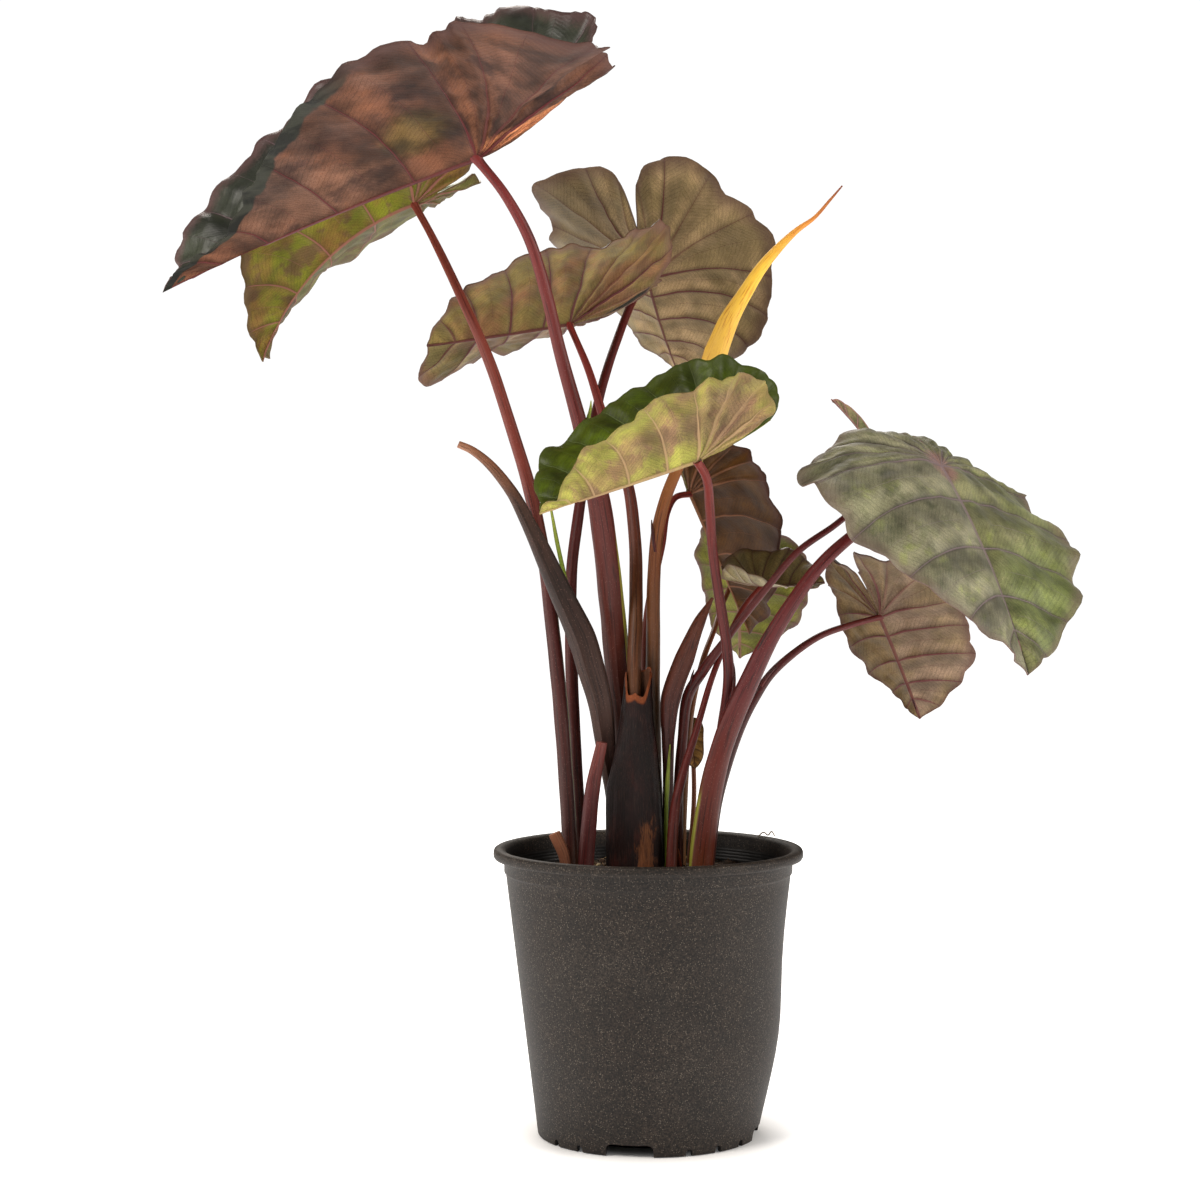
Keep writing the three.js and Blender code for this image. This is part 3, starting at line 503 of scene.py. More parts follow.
cutters = []
notches = []
for turn in range(WIDE_NOTCH_COUNT):
    angle = WIDE_NOTCH_START + turn * 360 / WIDE_NOTCH_COUNT
    notches.append((angle, WIDE_NOTCH, CHANNEL_RISE - 1, WIDE_ROUNDING))
for angle in SMALL_NOTCHES:
    notches.append((angle, SMALL_NOTCH, SMALL_NOTCH_RISE, SMALL_ROUNDING))
for angle, width, rise, rounding in notches:
    reach = (FOOT_RADIUS - SKIRT / 2 - 1) * MM
    turn = math.radians(angle)
    deselect()
    bpy.ops.mesh.primitive_cube_add(
        size=1,
        location=(reach * math.cos(turn), reach * math.sin(turn), 0),
        rotation=(0, 0, turn),
        scale=((2 * SKIRT + 8) * MM, width * MM, 2 * rise * MM),
    )
    cutter = named("notch")
    bpy.ops.object.transform_apply(location=True, rotation=True, scale=True)
    bpy.ops.object.mode_set(mode="EDIT")
    bpy.ops.mesh.select_all(action="SELECT")
    bpy.ops.mesh.bevel(offset=rounding * MM, segments=3, affect="EDGES")
    bpy.ops.object.mode_set(mode="OBJECT")
    cutters.append(cutter)
for turn in range(DRAIN_COUNT):
    angle = math.radians((turn + 0.5) * 360 / DRAIN_COUNT)
    deselect()
    bpy.ops.mesh.primitive_cylinder_add(
        vertices=28,
        radius=DRAIN_RADIUS * MM,
        depth=8 * MM,
        location=(
            DRAIN_CIRCLE * MM * math.cos(angle),
            DRAIN_CIRCLE * MM * math.sin(angle),
            (CHANNEL_RISE + FLOOR_THICK / 2) * MM,
        ),
    )
    cutters.append(named("drain"))
cutter = join(cutters, "openings")
work_on(pot)
cut = pot.modifiers.new("openings", "BOOLEAN")
cut.operation = "DIFFERENCE"
cut.solver = "EXACT"
cut.object = cutter
bpy.ops.object.modifier_apply(modifier=cut.name)
bpy.data.objects.remove(cutter, do_unlink=True)
work_on(pot)
bpy.ops.object.shade_smooth_by_angle(angle=math.radians(40))
print("pot faces:", len(pot.data.polygons))

# %% [markdown]
# The pot's plastic is recycled and nearly black. It has a fine eggshell grain with tiny pale
# specks and a little dust low down. Round the lip it is paler, partly from dust and partly from a
# painted highlight on the top of the rolled lip. It is smoother inside, and its inside wall is
# painted darker as shade.

# %% Pot plastic
bench = Bench("charcoal_plastic")
around = bench.place()
grain = bench.speckle(around, 760, 2, 0.6)
mottle = bench.speckle(around, 38, 4, 0.6)
east, north, up = bench.parts(around)
out = bench.math("POWER", east, 2.0)
out = bench.math("ADD", out, bench.math("POWER", north, 2.0))
out = bench.math("SQRT", out)
wall_slope = (wall_radius(BAND_BOTTOM) - FOOT_RADIUS) / BAND_BOTTOM
wall_here = bench.scaled(up, wall_slope, (FOOT_RADIUS - 1) * MM)
inside = bench.span(bench.math("SUBTRACT", out, wall_here), -0.0004, 0.0, 1.0, 0.0)
below_lip = bench.span(up, 0.2, 0.205, 1.0, 0.0)
inside = bench.math("MULTIPLY", inside, below_lip, clamp=True)
plastic = bench.stops(mottle, [(0.3, tint(26, 20, 16)), (0.7, tint(36, 29, 24))])
dust = bench.span(bench.speckle(around, 14, 5, 0.7), 0.48, 0.8)
# painted highlight: the top of the rolled lip is paler, on top of the dust
lip = bench.span(up, 0.206, 0.2135)
dust_and_highlight = bench.math("MULTIPLY", dust, bench.scaled(lip, 0.5, 0.1), clamp=True)
plastic = bench.blend(dust_and_highlight, plastic, tint(92, 86, 80))
plastic = bench.blend(1.0, plastic, bench.span(grain, 0.36, 0.64, 0.3, 1.7), "MULTIPLY")
specks = bench.span(bench.cells(around, 760), 0.16, 0.34, 1.0, 0.0)
rare = bench.span(bench.speckle(around, 420, 1), 0.42, 0.56)
specks = bench.times(bench.times(specks, rare), 0.42)
plastic = bench.blend(specks, plastic, tint(140, 128, 114))
# painted shade: the inside wall is darker than the same plastic outside
plastic = bench.blend(inside, plastic, tint(17, 17, 18))
rings = bench.math("SINE", bench.times(up, 2600.0))
height = bench.scaled(bench.times(rings, inside), 0.4, grain)
rough = bench.scaled(inside, -0.24, 0.52)
rough = bench.scaled(mottle, 0.12, rough)
pot_plastic = bench.finish(plastic, rough, bench.relief(height, 0.12, 0.85), specular=0.26)
pot.data.materials.clear()
pot.data.materials.append(pot_plastic)
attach(pot, "root")
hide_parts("pot")
print("pot finished")

# %% [markdown]
# The potting mix is a rough bed of bark crumbs, fibres and grit, about two centimetres below the
# rim. Its body is a grid that is bent into a round bed and roughened with layered noise, and then
# extruded down inside the pot. Loose crumbs are modelled three times and copied over it.

# %% Soil bed
SOIL_TOP = 192
SOIL_LEVELS = [SOIL_TOP, 180, 150, 110, 75, 40, 14]
SOIL_ROOM = 0.7
BED_STEPS = 150


def soil_height(x, y):
    radius = math.hypot(x, y)
    crown = 1.5 - 2.0 * smooth_share(40, 100, radius)
    place = Vector((x, y, 3.0))
    rise = 2.2 * noise.fractal(place / 34, 0.9, 2.0, 3)
    rise += 1.9 * noise.fractal(place / 9, 0.8, 2.1, 4)
    rise += 0.9 * abs(noise.noise(place / 2.6))
    return SOIL_TOP + crown + rise


bed = new_grid("potting_soil", BED_STEPS, BED_STEPS)
square = points_of(bed)[:, :2]
big = np.maximum(np.abs(square).max(axis=1), 1e-9)
length = np.maximum(np.linalg.norm(square, axis=1), 1e-9)
edge = wall_radius(SOIL_TOP) - WALL - SOIL_ROOM - 0.3
disc = square / length[:, None] * big[:, None] * edge
heights = np.array([soil_height(x, y) for x, y in disc])
move_points(bed, np.column_stack([disc, heights]))
work_on(bed)
bpy.ops.object.mode_set(mode="EDIT")
bpy.ops.mesh.select_all(action="DESELECT")
bpy.ops.mesh.select_non_manifold()
for above, below in zip(SOIL_LEVELS, SOIL_LEVELS[1:]):
    bpy.ops.mesh.extrude_edges_move(TRANSFORM_OT_translate={"value": (0, 0, (below - above) * MM)})
    shrink = wall_radius(below) / wall_radius(above)
    bpy.ops.transform.resize(value=(shrink, shrink, 1), center_override=(0, 0, below * MM))
bpy.ops.transform.resize(value=(1, 1, 0), center_override=(0, 0, SOIL_LEVELS[-1] * MM))
bpy.ops.mesh.edge_face_add()
bpy.ops.mesh.select_all(action="SELECT")
bpy.ops.mesh.normals_make_consistent(inside=False)
bpy.ops.object.mode_set(mode="OBJECT")
bed_places = points_of(bed) / MM
lower = bed_places[:, 2] < SOIL_TOP - 8
bed_places[lower] = bulged(bed_places)[lower]
move_points(bed, bed_places)
bpy.ops.object.shade_smooth()
print("soil faces:", len(bed.data.polygons))

# %% Crumbs of bark and grit
CRUMB_COUNT = 620
rng = np.random.default_rng(23)

deselect()
bpy.ops.mesh.primitive_ico_sphere_add(subdivisions=1, radius=1)
granule = named("granule")
deselect()
bpy.ops.mesh.primitive_cube_add(size=2)
chip = named("chip")
bpy.ops.object.mode_set(mode="EDIT")
bpy.ops.mesh.select_all(action="SELECT")
bpy.ops.mesh.subdivide(number_cuts=1)
bpy.ops.object.mode_set(mode="OBJECT")
deselect()
bpy.ops.mesh.primitive_cylinder_add(vertices=6, radius=1, depth=2)
splinter = named("splinter")
bpy.ops.object.mode_set(mode="EDIT")
bpy.ops.mesh.select_all(action="SELECT")
bpy.ops.mesh.subdivide(number_cuts=1)
bpy.ops.object.mode_set(mode="OBJECT")
for start, rough_by in ((granule, 0.24), (chip, 0.3), (splinter, 0.25)):
    shape = points_of(start)
    shape = shape * (1 + rng.uniform(-rough_by, rough_by, size=(len(shape), 1)))
    start.data.vertices.foreach_set("co", shape.ravel())

crumbs = []
for index in range(CRUMB_COUNT):
    kind = rng.choice(3, p=[0.45, 0.3, 0.25])
    start = (granule, chip, splinter)[kind]
    size = rng.uniform(0.8, 2.4) if rng.random() < 0.85 else rng.uniform(2.4, 4.4)
    grain_scale = (size, size * 0.8, size * 0.7)
    chip_scale = (size, size * 0.7, size * 0.3)
    splinter_scale = (0.45, 0.4, size * 1.8)
    scale = (grain_scale, chip_scale, splinter_scale)[kind]
    radius = (edge - 3) * math.sqrt(rng.random())
    angle = rng.uniform(0, 2 * math.pi)
    x, y = radius * math.cos(angle), radius * math.sin(angle)
    lie = Matrix.Rotation(rng.uniform(0, 2 * math.pi), 4, "Z")
    tilt = rng.uniform(1.2, 1.75) if kind == 2 else rng.uniform(-0.5, 0.5)
    lie = lie @ Matrix.Rotation(tilt, 4, "X") @ Matrix.Diagonal((*scale, 1))
    mesh = start.data.copy()
    mesh.transform(Matrix.Scale(MM, 4) @ Matrix.Translation((x, y, soil_height(x, y) + 0.4)) @ lie)
    crumb = bpy.data.objects.new("crumb", mesh)
    write_numbers(crumb, tone=np.full(len(mesh.vertices), rng.random()))
    bpy.context.collection.objects.link(crumb)
    crumbs.append(crumb)
crumbs = join(crumbs, "soil_crumbs")
for start in (granule, chip, splinter):
    bpy.data.objects.remove(start, do_unlink=True)
print("crumbs:", CRUMB_COUNT, "with", len(crumbs.data.polygons), "faces")

# %% [markdown]
# Moist peat is almost black, with brown bark, pale grit and a little green algae where light
# reaches it. One noise picks the crumb's colour and a finer one breaks it up.

# %% Soil colours
bench = Bench("potting_mix")
around = bench.place()
lumps = bench.speckle(around, 240, 5, 0.7)
patches = bench.speckle(around, 45, 3, 0.6)
earth = bench.stops(
    lumps, [(0.3, tint(18, 14, 12)), (0.5, tint(46, 36, 30)), (0.72, tint(92, 74, 58))]
)
green = bench.times(bench.span(patches, 0.56, 0.7), 0.45)
earth = bench.blend(green, earth, tint(88, 92, 46))
grit = bench.times(bench.span(bench.cells(around, 300), 0.08, 0.16, 1.0, 0.0), 0.35)
earth = bench.blend(grit, earth, tint(160, 146, 120))
earth_paint = bench.finish(earth, 0.95, bench.relief(lumps, 1.1, 0.9), specular=0.2)
bed.data.materials.append(earth_paint)

bench = Bench("bark_crumbs")
around = bench.place()
tone = bench.number("tone")
streak = bench.speckle(around, 700, 3, 0.6)
bark = bench.stops(
    tone,
    [
        (0.0, tint(24, 18, 15)),
        (0.45, tint(58, 42, 32)),
        (0.7, tint(98, 74, 52)),
        (0.88, tint(146, 118, 84)),
        (1.0, tint(186, 168, 132)),
    ],
)
bark = bench.blend(bench.times(streak, 0.5), bark, tint(30, 24, 20))
bark_paint = bench.finish(bark, 0.88, bench.relief(streak, 0.4, 0.8), specular=0.25)
crumbs.data.materials.append(bark_paint)
for piece in (bed, crumbs):
    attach(piece, "root")
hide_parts("soil")
print("soil finished")

# %% [markdown]
# A colocasia leaf is a shield: the stalk joins it inside the blade, at the hub. A midrib runs to
# the tip, four side veins leave it on each half, and five more fan out into the two lobes. The
# table gives each leaf's hub, lengths and turns, just as the fixed frame was made, so the fine
# blade lies where the plain one does. Left and right are the halves as seen along the midrib.

# %% Leaf table
LEAF_WORDS = (
    "tip lobe left right notch heading pitch roll fold_left fold_right curl_left curl_right "
    "droop rise twist sweep full open open_right uneven wave waves phase"
).split()
LEAF_TABLE = {
    "leaf_1": (
        (-124.7, -50, 718.5),
        (254, 141, 128, 138, 0.2, 170, -18, -4, 41, 58, -7, 8,
         7, 54, 13, 5, 0.02, 1, -2, 0, 5, 5, 0.4),
        (-24, -26),
        [
            (1, 0.2, 0.12, -25, 0), (1, 0.47, 0.075, 11, -11), (1, 0.55, 0.075, -9, 17),
            (1, 0.63, 0.075, 14, 15), (1, 0.71, 0.075, -6, -32), (1, 0.79, 0.075, -13, -3),
            (1, 0.87, 0.075, -16, -30), (-1, 0.2, 0.12, 19, 0), (-1, 0.47, 0.07, -18, 0),
            (-1, 0.6, 0.06, -3, -5), (-1, 0.68, 0.06, 22, 8), (-1, 0.84, 0.06, 6, -8),
        ],
    ),
    "leaf_2": (
        (-180.2, 95, 702.3),
        (179, 58, 90, 98, 0.31, 181, -21, 22, 10, 18, 32, 14,
         57, 15, 8, 3, 0.18, 8, 0, 0, 3, 4, 1.3),
        (0, 0),
        [
            (-1, 0.375, 0.035, 2, -11), (-1, 0.44, 0.025, 0, -8),
        ],
    ),
    "leaf_3": (
        (-60.4, 120, 611.2),
        (116, 101, 101, 62, 0.3, 201, -11, 6, 45, -12, -32, 25,
         -4, 28, 11, -8, 0.16, -10, 0, 0.05, 2.5, 4, 2.1),
        (0, 0),
        [
            (-1, 0.11, 0.08, 18, -14), (1, 0.12, 0.06, 4, 0),
        ],
    ),
    "leaf_4": (
        (3.6, 225, 655.2),
        (87, 104, 124, 113, 0.44, 65, -59, -11, 31, -1, 20, -24,
         4, 12, 15, -8, 0.22, 4.5, 23, 0.04, 3, 5, 0.9),
        (-10, -15),
        [
            (1, 0.6, 0.09, -27, 0), (1, 0.3, 0.1, 5, 0), (1, 0.8, 0.06, -9, 0),
            (-1, 0.66, 0.09, -20, 0),
        ],
    ),
    "leaf_5": (
        (32.9, -88, 500.3),
        (122, 76, 77, 94, 0.27, 193, -19, 2, 45, 41, -9, 2,
         -2, 13, 4, 9, 0.2, -1, 9, -0.12, 3, 4, 2.8),
        (3, 4),
        [
            (1, 0.22, 0.14, -11, 0), (-1, 0.17, 0.09, 12, 0), (-1, 0.48, 0.06, 6, 0),
            (-1, 0.62, 0.08, -5, 0),
        ],
    ),
    "leaf_6": (
        (34.3, 102, 477.6),
        (123, 46, 41, 80, 0.35, 28, -63, 1, 26, 30, 11, -23,
         3, 26, 13, -2, 0.19, -5, 0, 0.09, 2, 4, 1.7),
        (0, 0),
        [],
    ),
    "leaf_7": (
        (86.5, 32, 407.9),
        (50, 34, 39, 38, 0.28, -21, 1, 28, 23, 30, -14, 29,
         -6, 23, 14, -0.6, 0.08, -15, 0, 0.06, 1.4, 3, 0.2),
        (0, 0),
        [],
    ),
    "leaf_8": (
        (176.6, 40, 384.1),
        (91, 67, 46, 64, 0.36, 43, -58, -7, 12, 12, -5, 16,
         7, -26, -15, -2.4, 0.18, 8, -11, -0.11, 1.6, 4, 2.2),
        (0, 0),
        [
            (-1, 0.17, 0.1, 9, 0), (1, 0.2, 0.12, -4, 0), (-1, 0.92, 0.05, -26, 0),
            (1, 0.65, 0.14, -5, 0),
        ],
    ),
    "leaf_9": (
        (211, -50, 497.3),
        (175, 64, 108, 108, 0.39, -59, -47, -2, -11, 7, -16, -41,
         21, -45, 3, 5, 0.13, 21, 0, 0.1, 4, 6, 1.1),
        (0, 0),
        [],
    ),
    "leaf_10": (
        (74.9, 176, 414.8),
        (92, 47, 36, 58, 0.35, 81, -58, 4, 14, 1, 10, -6,
         -10, 0, -1, 4, 0.17, 7, 0, 0, 1.4, 3, 0.6),
        (0, 0),
        [],
    ),
    "leaf_11": (
        (34.2, 68, 293.4),
        (29, 13, 10, 10, 0.3, -80, -72, 0, 4, 6, 10, 14,
         -8, 5, 4, 1, 0.2, 0, 0, 0, 0.5, 3, 0.3),
        (0, 0),
        [],
    ),
    "leaf_12": (
        (169.9, 16, 509.5),
        (51, 16, 9, 9, 0.3, 178, 55, 5, 48, 40, 25, 20,
         12, 5, 20, 4, 0.05, 0, 0, 0, 1, 3, 1.4),
        (0, 0),
        [
            (1, 0.16, 0.07, 4, 0), (-1, 0.16, 0.07, 2, 0), (1, 0.42, 0.1, -4, 0),
            (-1, 0.42, 0.1, -4, 0),
        ],
    ),
}
LEAVES = {}
for leaf_name, (hub, numbers, lobes, nudges) in LEAF_TABLE.items():
    leaf = dict(zip(LEAF_WORDS, numbers))
    leaf["hub"] = np.array(hub)
    leaf["lobe_left"], leaf["lobe_right"] = lobes
    leaf["nudges"] = nudges
    LEAVES[leaf_name] = leaf
print("leaves:", len(LEAVES))

# %% [markdown]
# The outline of half a leaf is one smooth curve from the tip to the notch. Side veins end at fixed
# shares of it. The blade is a net: one direction counts the veins from the tip to the notch, the
# other runs out from the midrib to the margin, so every vein is a line of the net.

# %% Half of a leaf's outline
MARGIN = np.array(
    [
        [1, 0], [0.93, 0.055], [0.82, 0.135], [0.66, 0.25], [0.48, 0.355], [0.28, 0.44],
        [0.08, 0.485], [-0.25, 0.5], [-0.55, 0.47], [-0.82, 0.38], [-0.97, 0.25], [-0.98, 0.12],
        [-0.8, 0.035], [-0.3, 0],
    ]
)
LOBE_END = 11 / 13
VEIN_ENDS = [0, 0.085, 0.17, 0.265, 0.37, 0.48, 0.60, 0.72, 0.83, 0.93, 1]


def margin_at(share):
    last = len(MARGIN) - 1
    at = np.asarray(share, dtype=float) * last
    before = np.clip(np.floor(at), 0, last - 1).astype(int)
    t = (at - before)[..., None]
    padded = np.vstack([2 * MARGIN[0] - MARGIN[1], MARGIN, 2 * MARGIN[-1] - MARGIN[-2]])
    a, b, c, d = (padded[before + step] for step in range(4))
    curve = 2 * b + (c - a) * t + (2 * a - 5 * b + 4 * c - d) * t**2
    curve = (curve + (3 * b - a - 3 * c + d) * t**3) / 2
    return curve[..., 0], curve[..., 1]


def end_fade(share):
    return np.minimum(1, share / 0.08) * np.minimum(1, (1 - share) / 0.14)


def nudged(leaf, side, share, which):
    total = np.zeros_like(share)
    for nudge in leaf["nudges"]:
        here = np.exp(-(((share - nudge[1]) / nudge[2]) ** 2)) * end_fade(share)
        total += np.where(side == nudge[0], nudge[which] * here, 0)
    return total


# %% Where a vein and a reach lie on the flat blade
def flat_blade(leaf, vein, reach, side):
    share = np.interp(vein, range(11), VEIN_ENDS)
    along, across = margin_at(share)
    ahead = np.maximum(0, along)
    width = np.where(side > 0, leaf["left"], leaf["right"])
    lobe = leaf["lobe"] * (1 + side * leaf["uneven"])
    p = np.where(along >= 0, along * leaf["tip"], along * lobe)
    end = margin_at(LOBE_END)[0]
    notch = margin_at(1.0)[0]
    part = (along - end) / (notch - end)
    inward = end * lobe + part * (-leaf["notch"] * leaf["lobe"] - end * lobe)
    p = np.where(share > LOBE_END, inward, p)
    q = (across + leaf["full"] * 4 * ahead**2 * (1 - ahead)) * 2 * width
    start = np.where(ahead > 0, leaf["tip"] * 0.9 * ahead**1.35, 0)
    grown = 1 + nudged(leaf, side, share, 3) / np.maximum(np.hypot(p - start, q), 1e-6)
    ahead_by = (p - start) * grown
    out_by = q * grown
    length = np.hypot(ahead_by, out_by)
    costa_p, costa_q = -0.78 * lobe, 0.38 * 2 * width * 0.8
    costa = np.hypot(costa_p, costa_q)
    pull = 0.5 * np.sin(np.pi * np.clip((vein - 5) / 5, 0, 1))
    arch = 0.15 * smooth_share(7, 3.5, vein)
    middle_p = ahead_by / 2 * (1 - pull) + pull * length / 2 * costa_p / costa - arch * length
    middle_q = out_by / 2 * (1 - pull) + pull * length / 2 * costa_q / costa
    mixed = 2 * reach * (1 - reach)
    p = start + mixed * middle_p + reach**2 * ahead_by
    q = side * (mixed * middle_q + reach**2 * out_by)
    return p, q, share, length


def wave_lift(leaf, side, share, reach):
    turn = 2 * np.pi * share
    left = side > 0
    slow = np.sin(turn * leaf["waves"] + leaf["phase"] + np.where(left, 0, 2.4))
    quick = np.sin(turn * leaf["waves"] * 1.9 + 2.3 * leaf["phase"] + np.where(left, 1.1, 0))
    waved = leaf["wave"] * reach**3 * end_fade(share) * (0.68 * slow + 0.32 * quick)
    return waved + nudged(leaf, side, share, 4) * reach**2


# %% [markdown]
# The flat blade is folded up along its midrib, each half is curled, and the whole is bent down
# towards the tip and up at the lobes. Then it is turned to its heading and set on its hub.

# %% Bend the blade and set it at its hub
def bent_places(leaf, p, q, side, lift):
    left = side > 0
    width = np.where(left, leaf["left"], leaf["right"])
    opening = leaf["open"] - np.where(left, 0, leaf["open_right"])
    lobe_fold = np.where(left, leaf["lobe_left"], leaf["lobe_right"])
    back = np.clip(-p / leaf["lobe"], 0, 1)
    fold = np.where(left, leaf["fold_left"], leaf["fold_right"])
    fold = np.radians(fold + opening * p / leaf["tip"] + lobe_fold * back)
    curl = np.radians(np.where(left, leaf["curl_left"], leaf["curl_right"])) / width
    curl = np.where(np.abs(curl) < 1e-9, 1e-6, curl)
    lean = fold + curl * np.abs(q)
    y = side * ((np.sin(lean) - np.sin(fold)) / curl - np.sin(lean) * lift)
    z = (np.cos(fold) - np.cos(lean)) / curl + np.cos(lean) * lift
    twist = np.radians(leaf["twist"]) * p / leaf["tip"]
    y, z = y * np.cos(twist) - z * np.sin(twist), y * np.sin(twist) + z * np.cos(twist)
    y = y + np.where(p > 0, leaf["sweep"] * (p / leaf["tip"]) ** 2, 0)
    front = -math.radians(leaf["droop"]) / leaf["tip"] or 1e-6
    rear = math.radians(leaf["rise"]) / leaf["lobe"] or 1e-6
    bend = np.where(p >= 0, front, rear)
    way = np.where(p < 0, -1, 1)
    run = np.abs(p)
    slope = way * bend * run
    x = way * np.sin(bend * run) / bend - np.sin(slope) * z
    z = (1 - np.cos(bend * run)) / bend + np.cos(slope) * z
    heading, pitch, roll = (math.radians(leaf[key]) for key in ("heading", "pitch", "roll"))
    forward = np.array(
        [math.cos(heading) * math.cos(pitch), math.sin(heading) * math.cos(pitch), math.sin(pitch)]
    )
    level = np.array([-math.sin(heading), math.cos(heading), 0])
    above = np.cross(forward, level)
    sideways = level * math.cos(roll) + above * math.sin(roll)
    normal = above * math.cos(roll) - level * math.sin(roll)
    return leaf["hub"] + np.outer(x, forward) + np.outer(y, sideways) + np.outer(z, normal)


# %% [markdown]
# Between two veins the blade swells up like a quilt, and small puckers cross it. The margin runs
# in scallops and ruffles up and down. The ribs stand proud on the underside: a vertex group tells
# the Solidify modifier where the blade is thicker. What the colours need to follow the veins is
# written on the points: the vein's number, the gap between veins, the run along the vein, the
# reach towards the margin, the half, the vein's rank and the place on the flat blade.

# %% Model one blade
BLADE = 0.8
MIDRIB = 1.4
RIB = 0.8
QUILT = 3.0
VEIN_RANK = [0, 0.6, 0.85, 1, 1, 0.95, 0.5, 0.45, 1, 0.4, 0]
RUFFLE = 4.2
SCALLOP = 24
FINE_SCALLOP = 9
FINE_WAVE = 11
PUCKER = 0.32
PUCKER_STEP = 11.0
HOLLOWS = ((26, 3.0, 0), (10, 1.3, 7))
VEIN_STEP = 0.02
REACH_STEP = 0.01


def leaf_size(leaf):
    return min(1.0, leaf["tip"] / 150 + 0.25)


def blade_noise(p, q, size, seed):
    places = zip(p / size, q / size)
    return np.array([noise.noise(Vector((a, b, seed))) for a, b in places])


def margin_noise(leaf, share, side, seed):
    round_margin = share * (leaf["tip"] + leaf["lobe"]) * 1.5
    ripple = []
    for place, half in zip(round_margin, side):
        out = 2 * abs(noise.noise(Vector((place / SCALLOP, 4 * half, seed)))) - 0.4
        out += 0.3 * noise.noise(Vector((place / FINE_SCALLOP, 4 * half, seed + 3)))
        up = noise.noise(Vector((place / SCALLOP, 4 * half, seed + 11)))
        up += 0.35 * noise.noise(Vector((place / FINE_WAVE, 4 * half, seed + 13)))
        ripple.append((out * RUFFLE, up * RUFFLE * 1.7))
    return np.array(ripple)


def make_blade(name, leaf, columns, rows, seed):
    blade = new_grid(name, columns, rows)
    net = points_of(blade)
    count = 5 * (1 - net[:, 0])
    part = count - np.floor(count)
    vein = np.floor(count) + part - 0.5 * np.sin(2 * np.pi * part) / (2 * np.pi)
    side = np.where(net[:, 1] >= 0, 1.0, -1.0)
    reach = np.abs(net[:, 1]) ** 1.2
    p, q, share, length = flat_blade(leaf, vein, reach, side)
    p_before, q_before = flat_blade(leaf, np.clip(vein - VEIN_STEP, 0, 10), reach, side)[:2]
    p_after, q_after = flat_blade(leaf, np.clip(vein + VEIN_STEP, 0, 10), reach, side)[:2]
    p_in, q_in = flat_blade(leaf, vein, np.maximum(reach - REACH_STEP, 0), side)[:2]
    p_out, q_out = flat_blade(leaf, vein, np.minimum(reach + REACH_STEP, 1), side)[:2]
    way = np.hypot(p_out - p_in, q_out - q_in) + 1e-9
    gap = np.abs((p_after - p_before) * (q_out - q_in) - (q_after - q_before) * (p_out - p_in))
    gap = gap / way / (2 * VEIN_STEP)
    size = leaf_size(leaf)
    run = reach * length
    ripple = margin_noise(leaf, share, side, seed) * size
    ripple = ripple * end_fade(share)[:, None]
    p = p + (p_out - p_in) / way * ripple[:, 0] * reach**6
    q = q + (q_out - q_in) / way * ripple[:, 0] * reach**6
    away = np.abs(vein - np.round(vein)) * gap
    rank = np.array(VEIN_RANK)[np.round(vein).astype(int)]
    taper = (1 - reach) ** 0.7 * smooth_share(0, 4, run + 3) * rank
    rib = RIB * size * np.exp(-((away / (1.2 * size)) ** 2)) * taper
    ahead = p > -4
    middle = np.where(ahead, np.abs(q), 99)
    mid_size = MIDRIB * size * np.clip(1 - 0.8 * p / leaf["tip"], 0.1, 1)
    rib = np.maximum(rib, mid_size * np.exp(-((middle / (1.6 * size)) ** 2)))
    between = np.abs(np.sin(np.pi * vein)) ** 0.7 * np.minimum(1, gap / 14)
    swell = QUILT * size * between * np.minimum(1, run / 14) * (1 - 0.55 * reach**4)
    pucker = np.sin(2 * np.pi * (run - 0.7 * np.minimum(away, 30)) / PUCKER_STEP + 3 * share)
    swell = swell + PUCKER * size * pucker * between * smooth_share(4, 24, run)
    uneven = sum(blade_noise(p, q, wide, seed + more) * deep for wide, deep, more in HOLLOWS)
    swell = swell + uneven * size * smooth_share(0, 16, np.minimum(run, np.abs(q) + 3))
    swell = swell * np.where(np.abs(q) < 1e-6, 0, 1)
    waved = wave_lift(leaf, side, share, reach) + ripple[:, 1] * reach**4
    lift = np.where(np.abs(q) < 1e-6, 0, waved) + swell
    places = bent_places(leaf, p, q, side, lift + BLADE / 2)
    write_numbers(blade, vein=vein, gap=gap, run=run, reach=reach, half=side, rank=rank)
    write_vectors(blade, flat=np.column_stack([p, q, np.abs(q)]))
    move_points(blade, places)
    ribs = blade.vertex_groups.new(name="ribs")
    for index in np.nonzero(rib > 0.02)[0]:
        ribs.add([int(index)], float(rib[index] / MIDRIB), "REPLACE")
    weld(blade)
    blade.data.materials.append(None)
    blade.data.materials.append(None)
    thick = blade.modifiers.new("thickness", "SOLIDIFY")
    thick.thickness = (BLADE + MIDRIB) * MM
    thick.offset = -1
    thick.vertex_group = "ribs"
    thick.thickness_vertex_group = BLADE / (BLADE + MIDRIB)
    thick.material_offset = 1
    thick.material_offset_rim = 1
    bpy.ops.object.modifier_apply(modifier=thick.name)
    bpy.ops.object.shade_smooth()
    return blade


BLADES = {}
for seed, (leaf_name, leaf) in enumerate(LEAVES.items()):
    fine = leaf["tip"] > 90 and leaf["lobe"] > 60
    columns, rows = (170, 96) if fine else (110, 60)
    number = leaf_name.split("_")[1]
    BLADES[leaf_name] = make_blade(f"blade_{number}", leaf, columns, rows, seed * 3.7)
print("blade faces:", sum(len(blade.data.polygons) for blade in BLADES.values()))
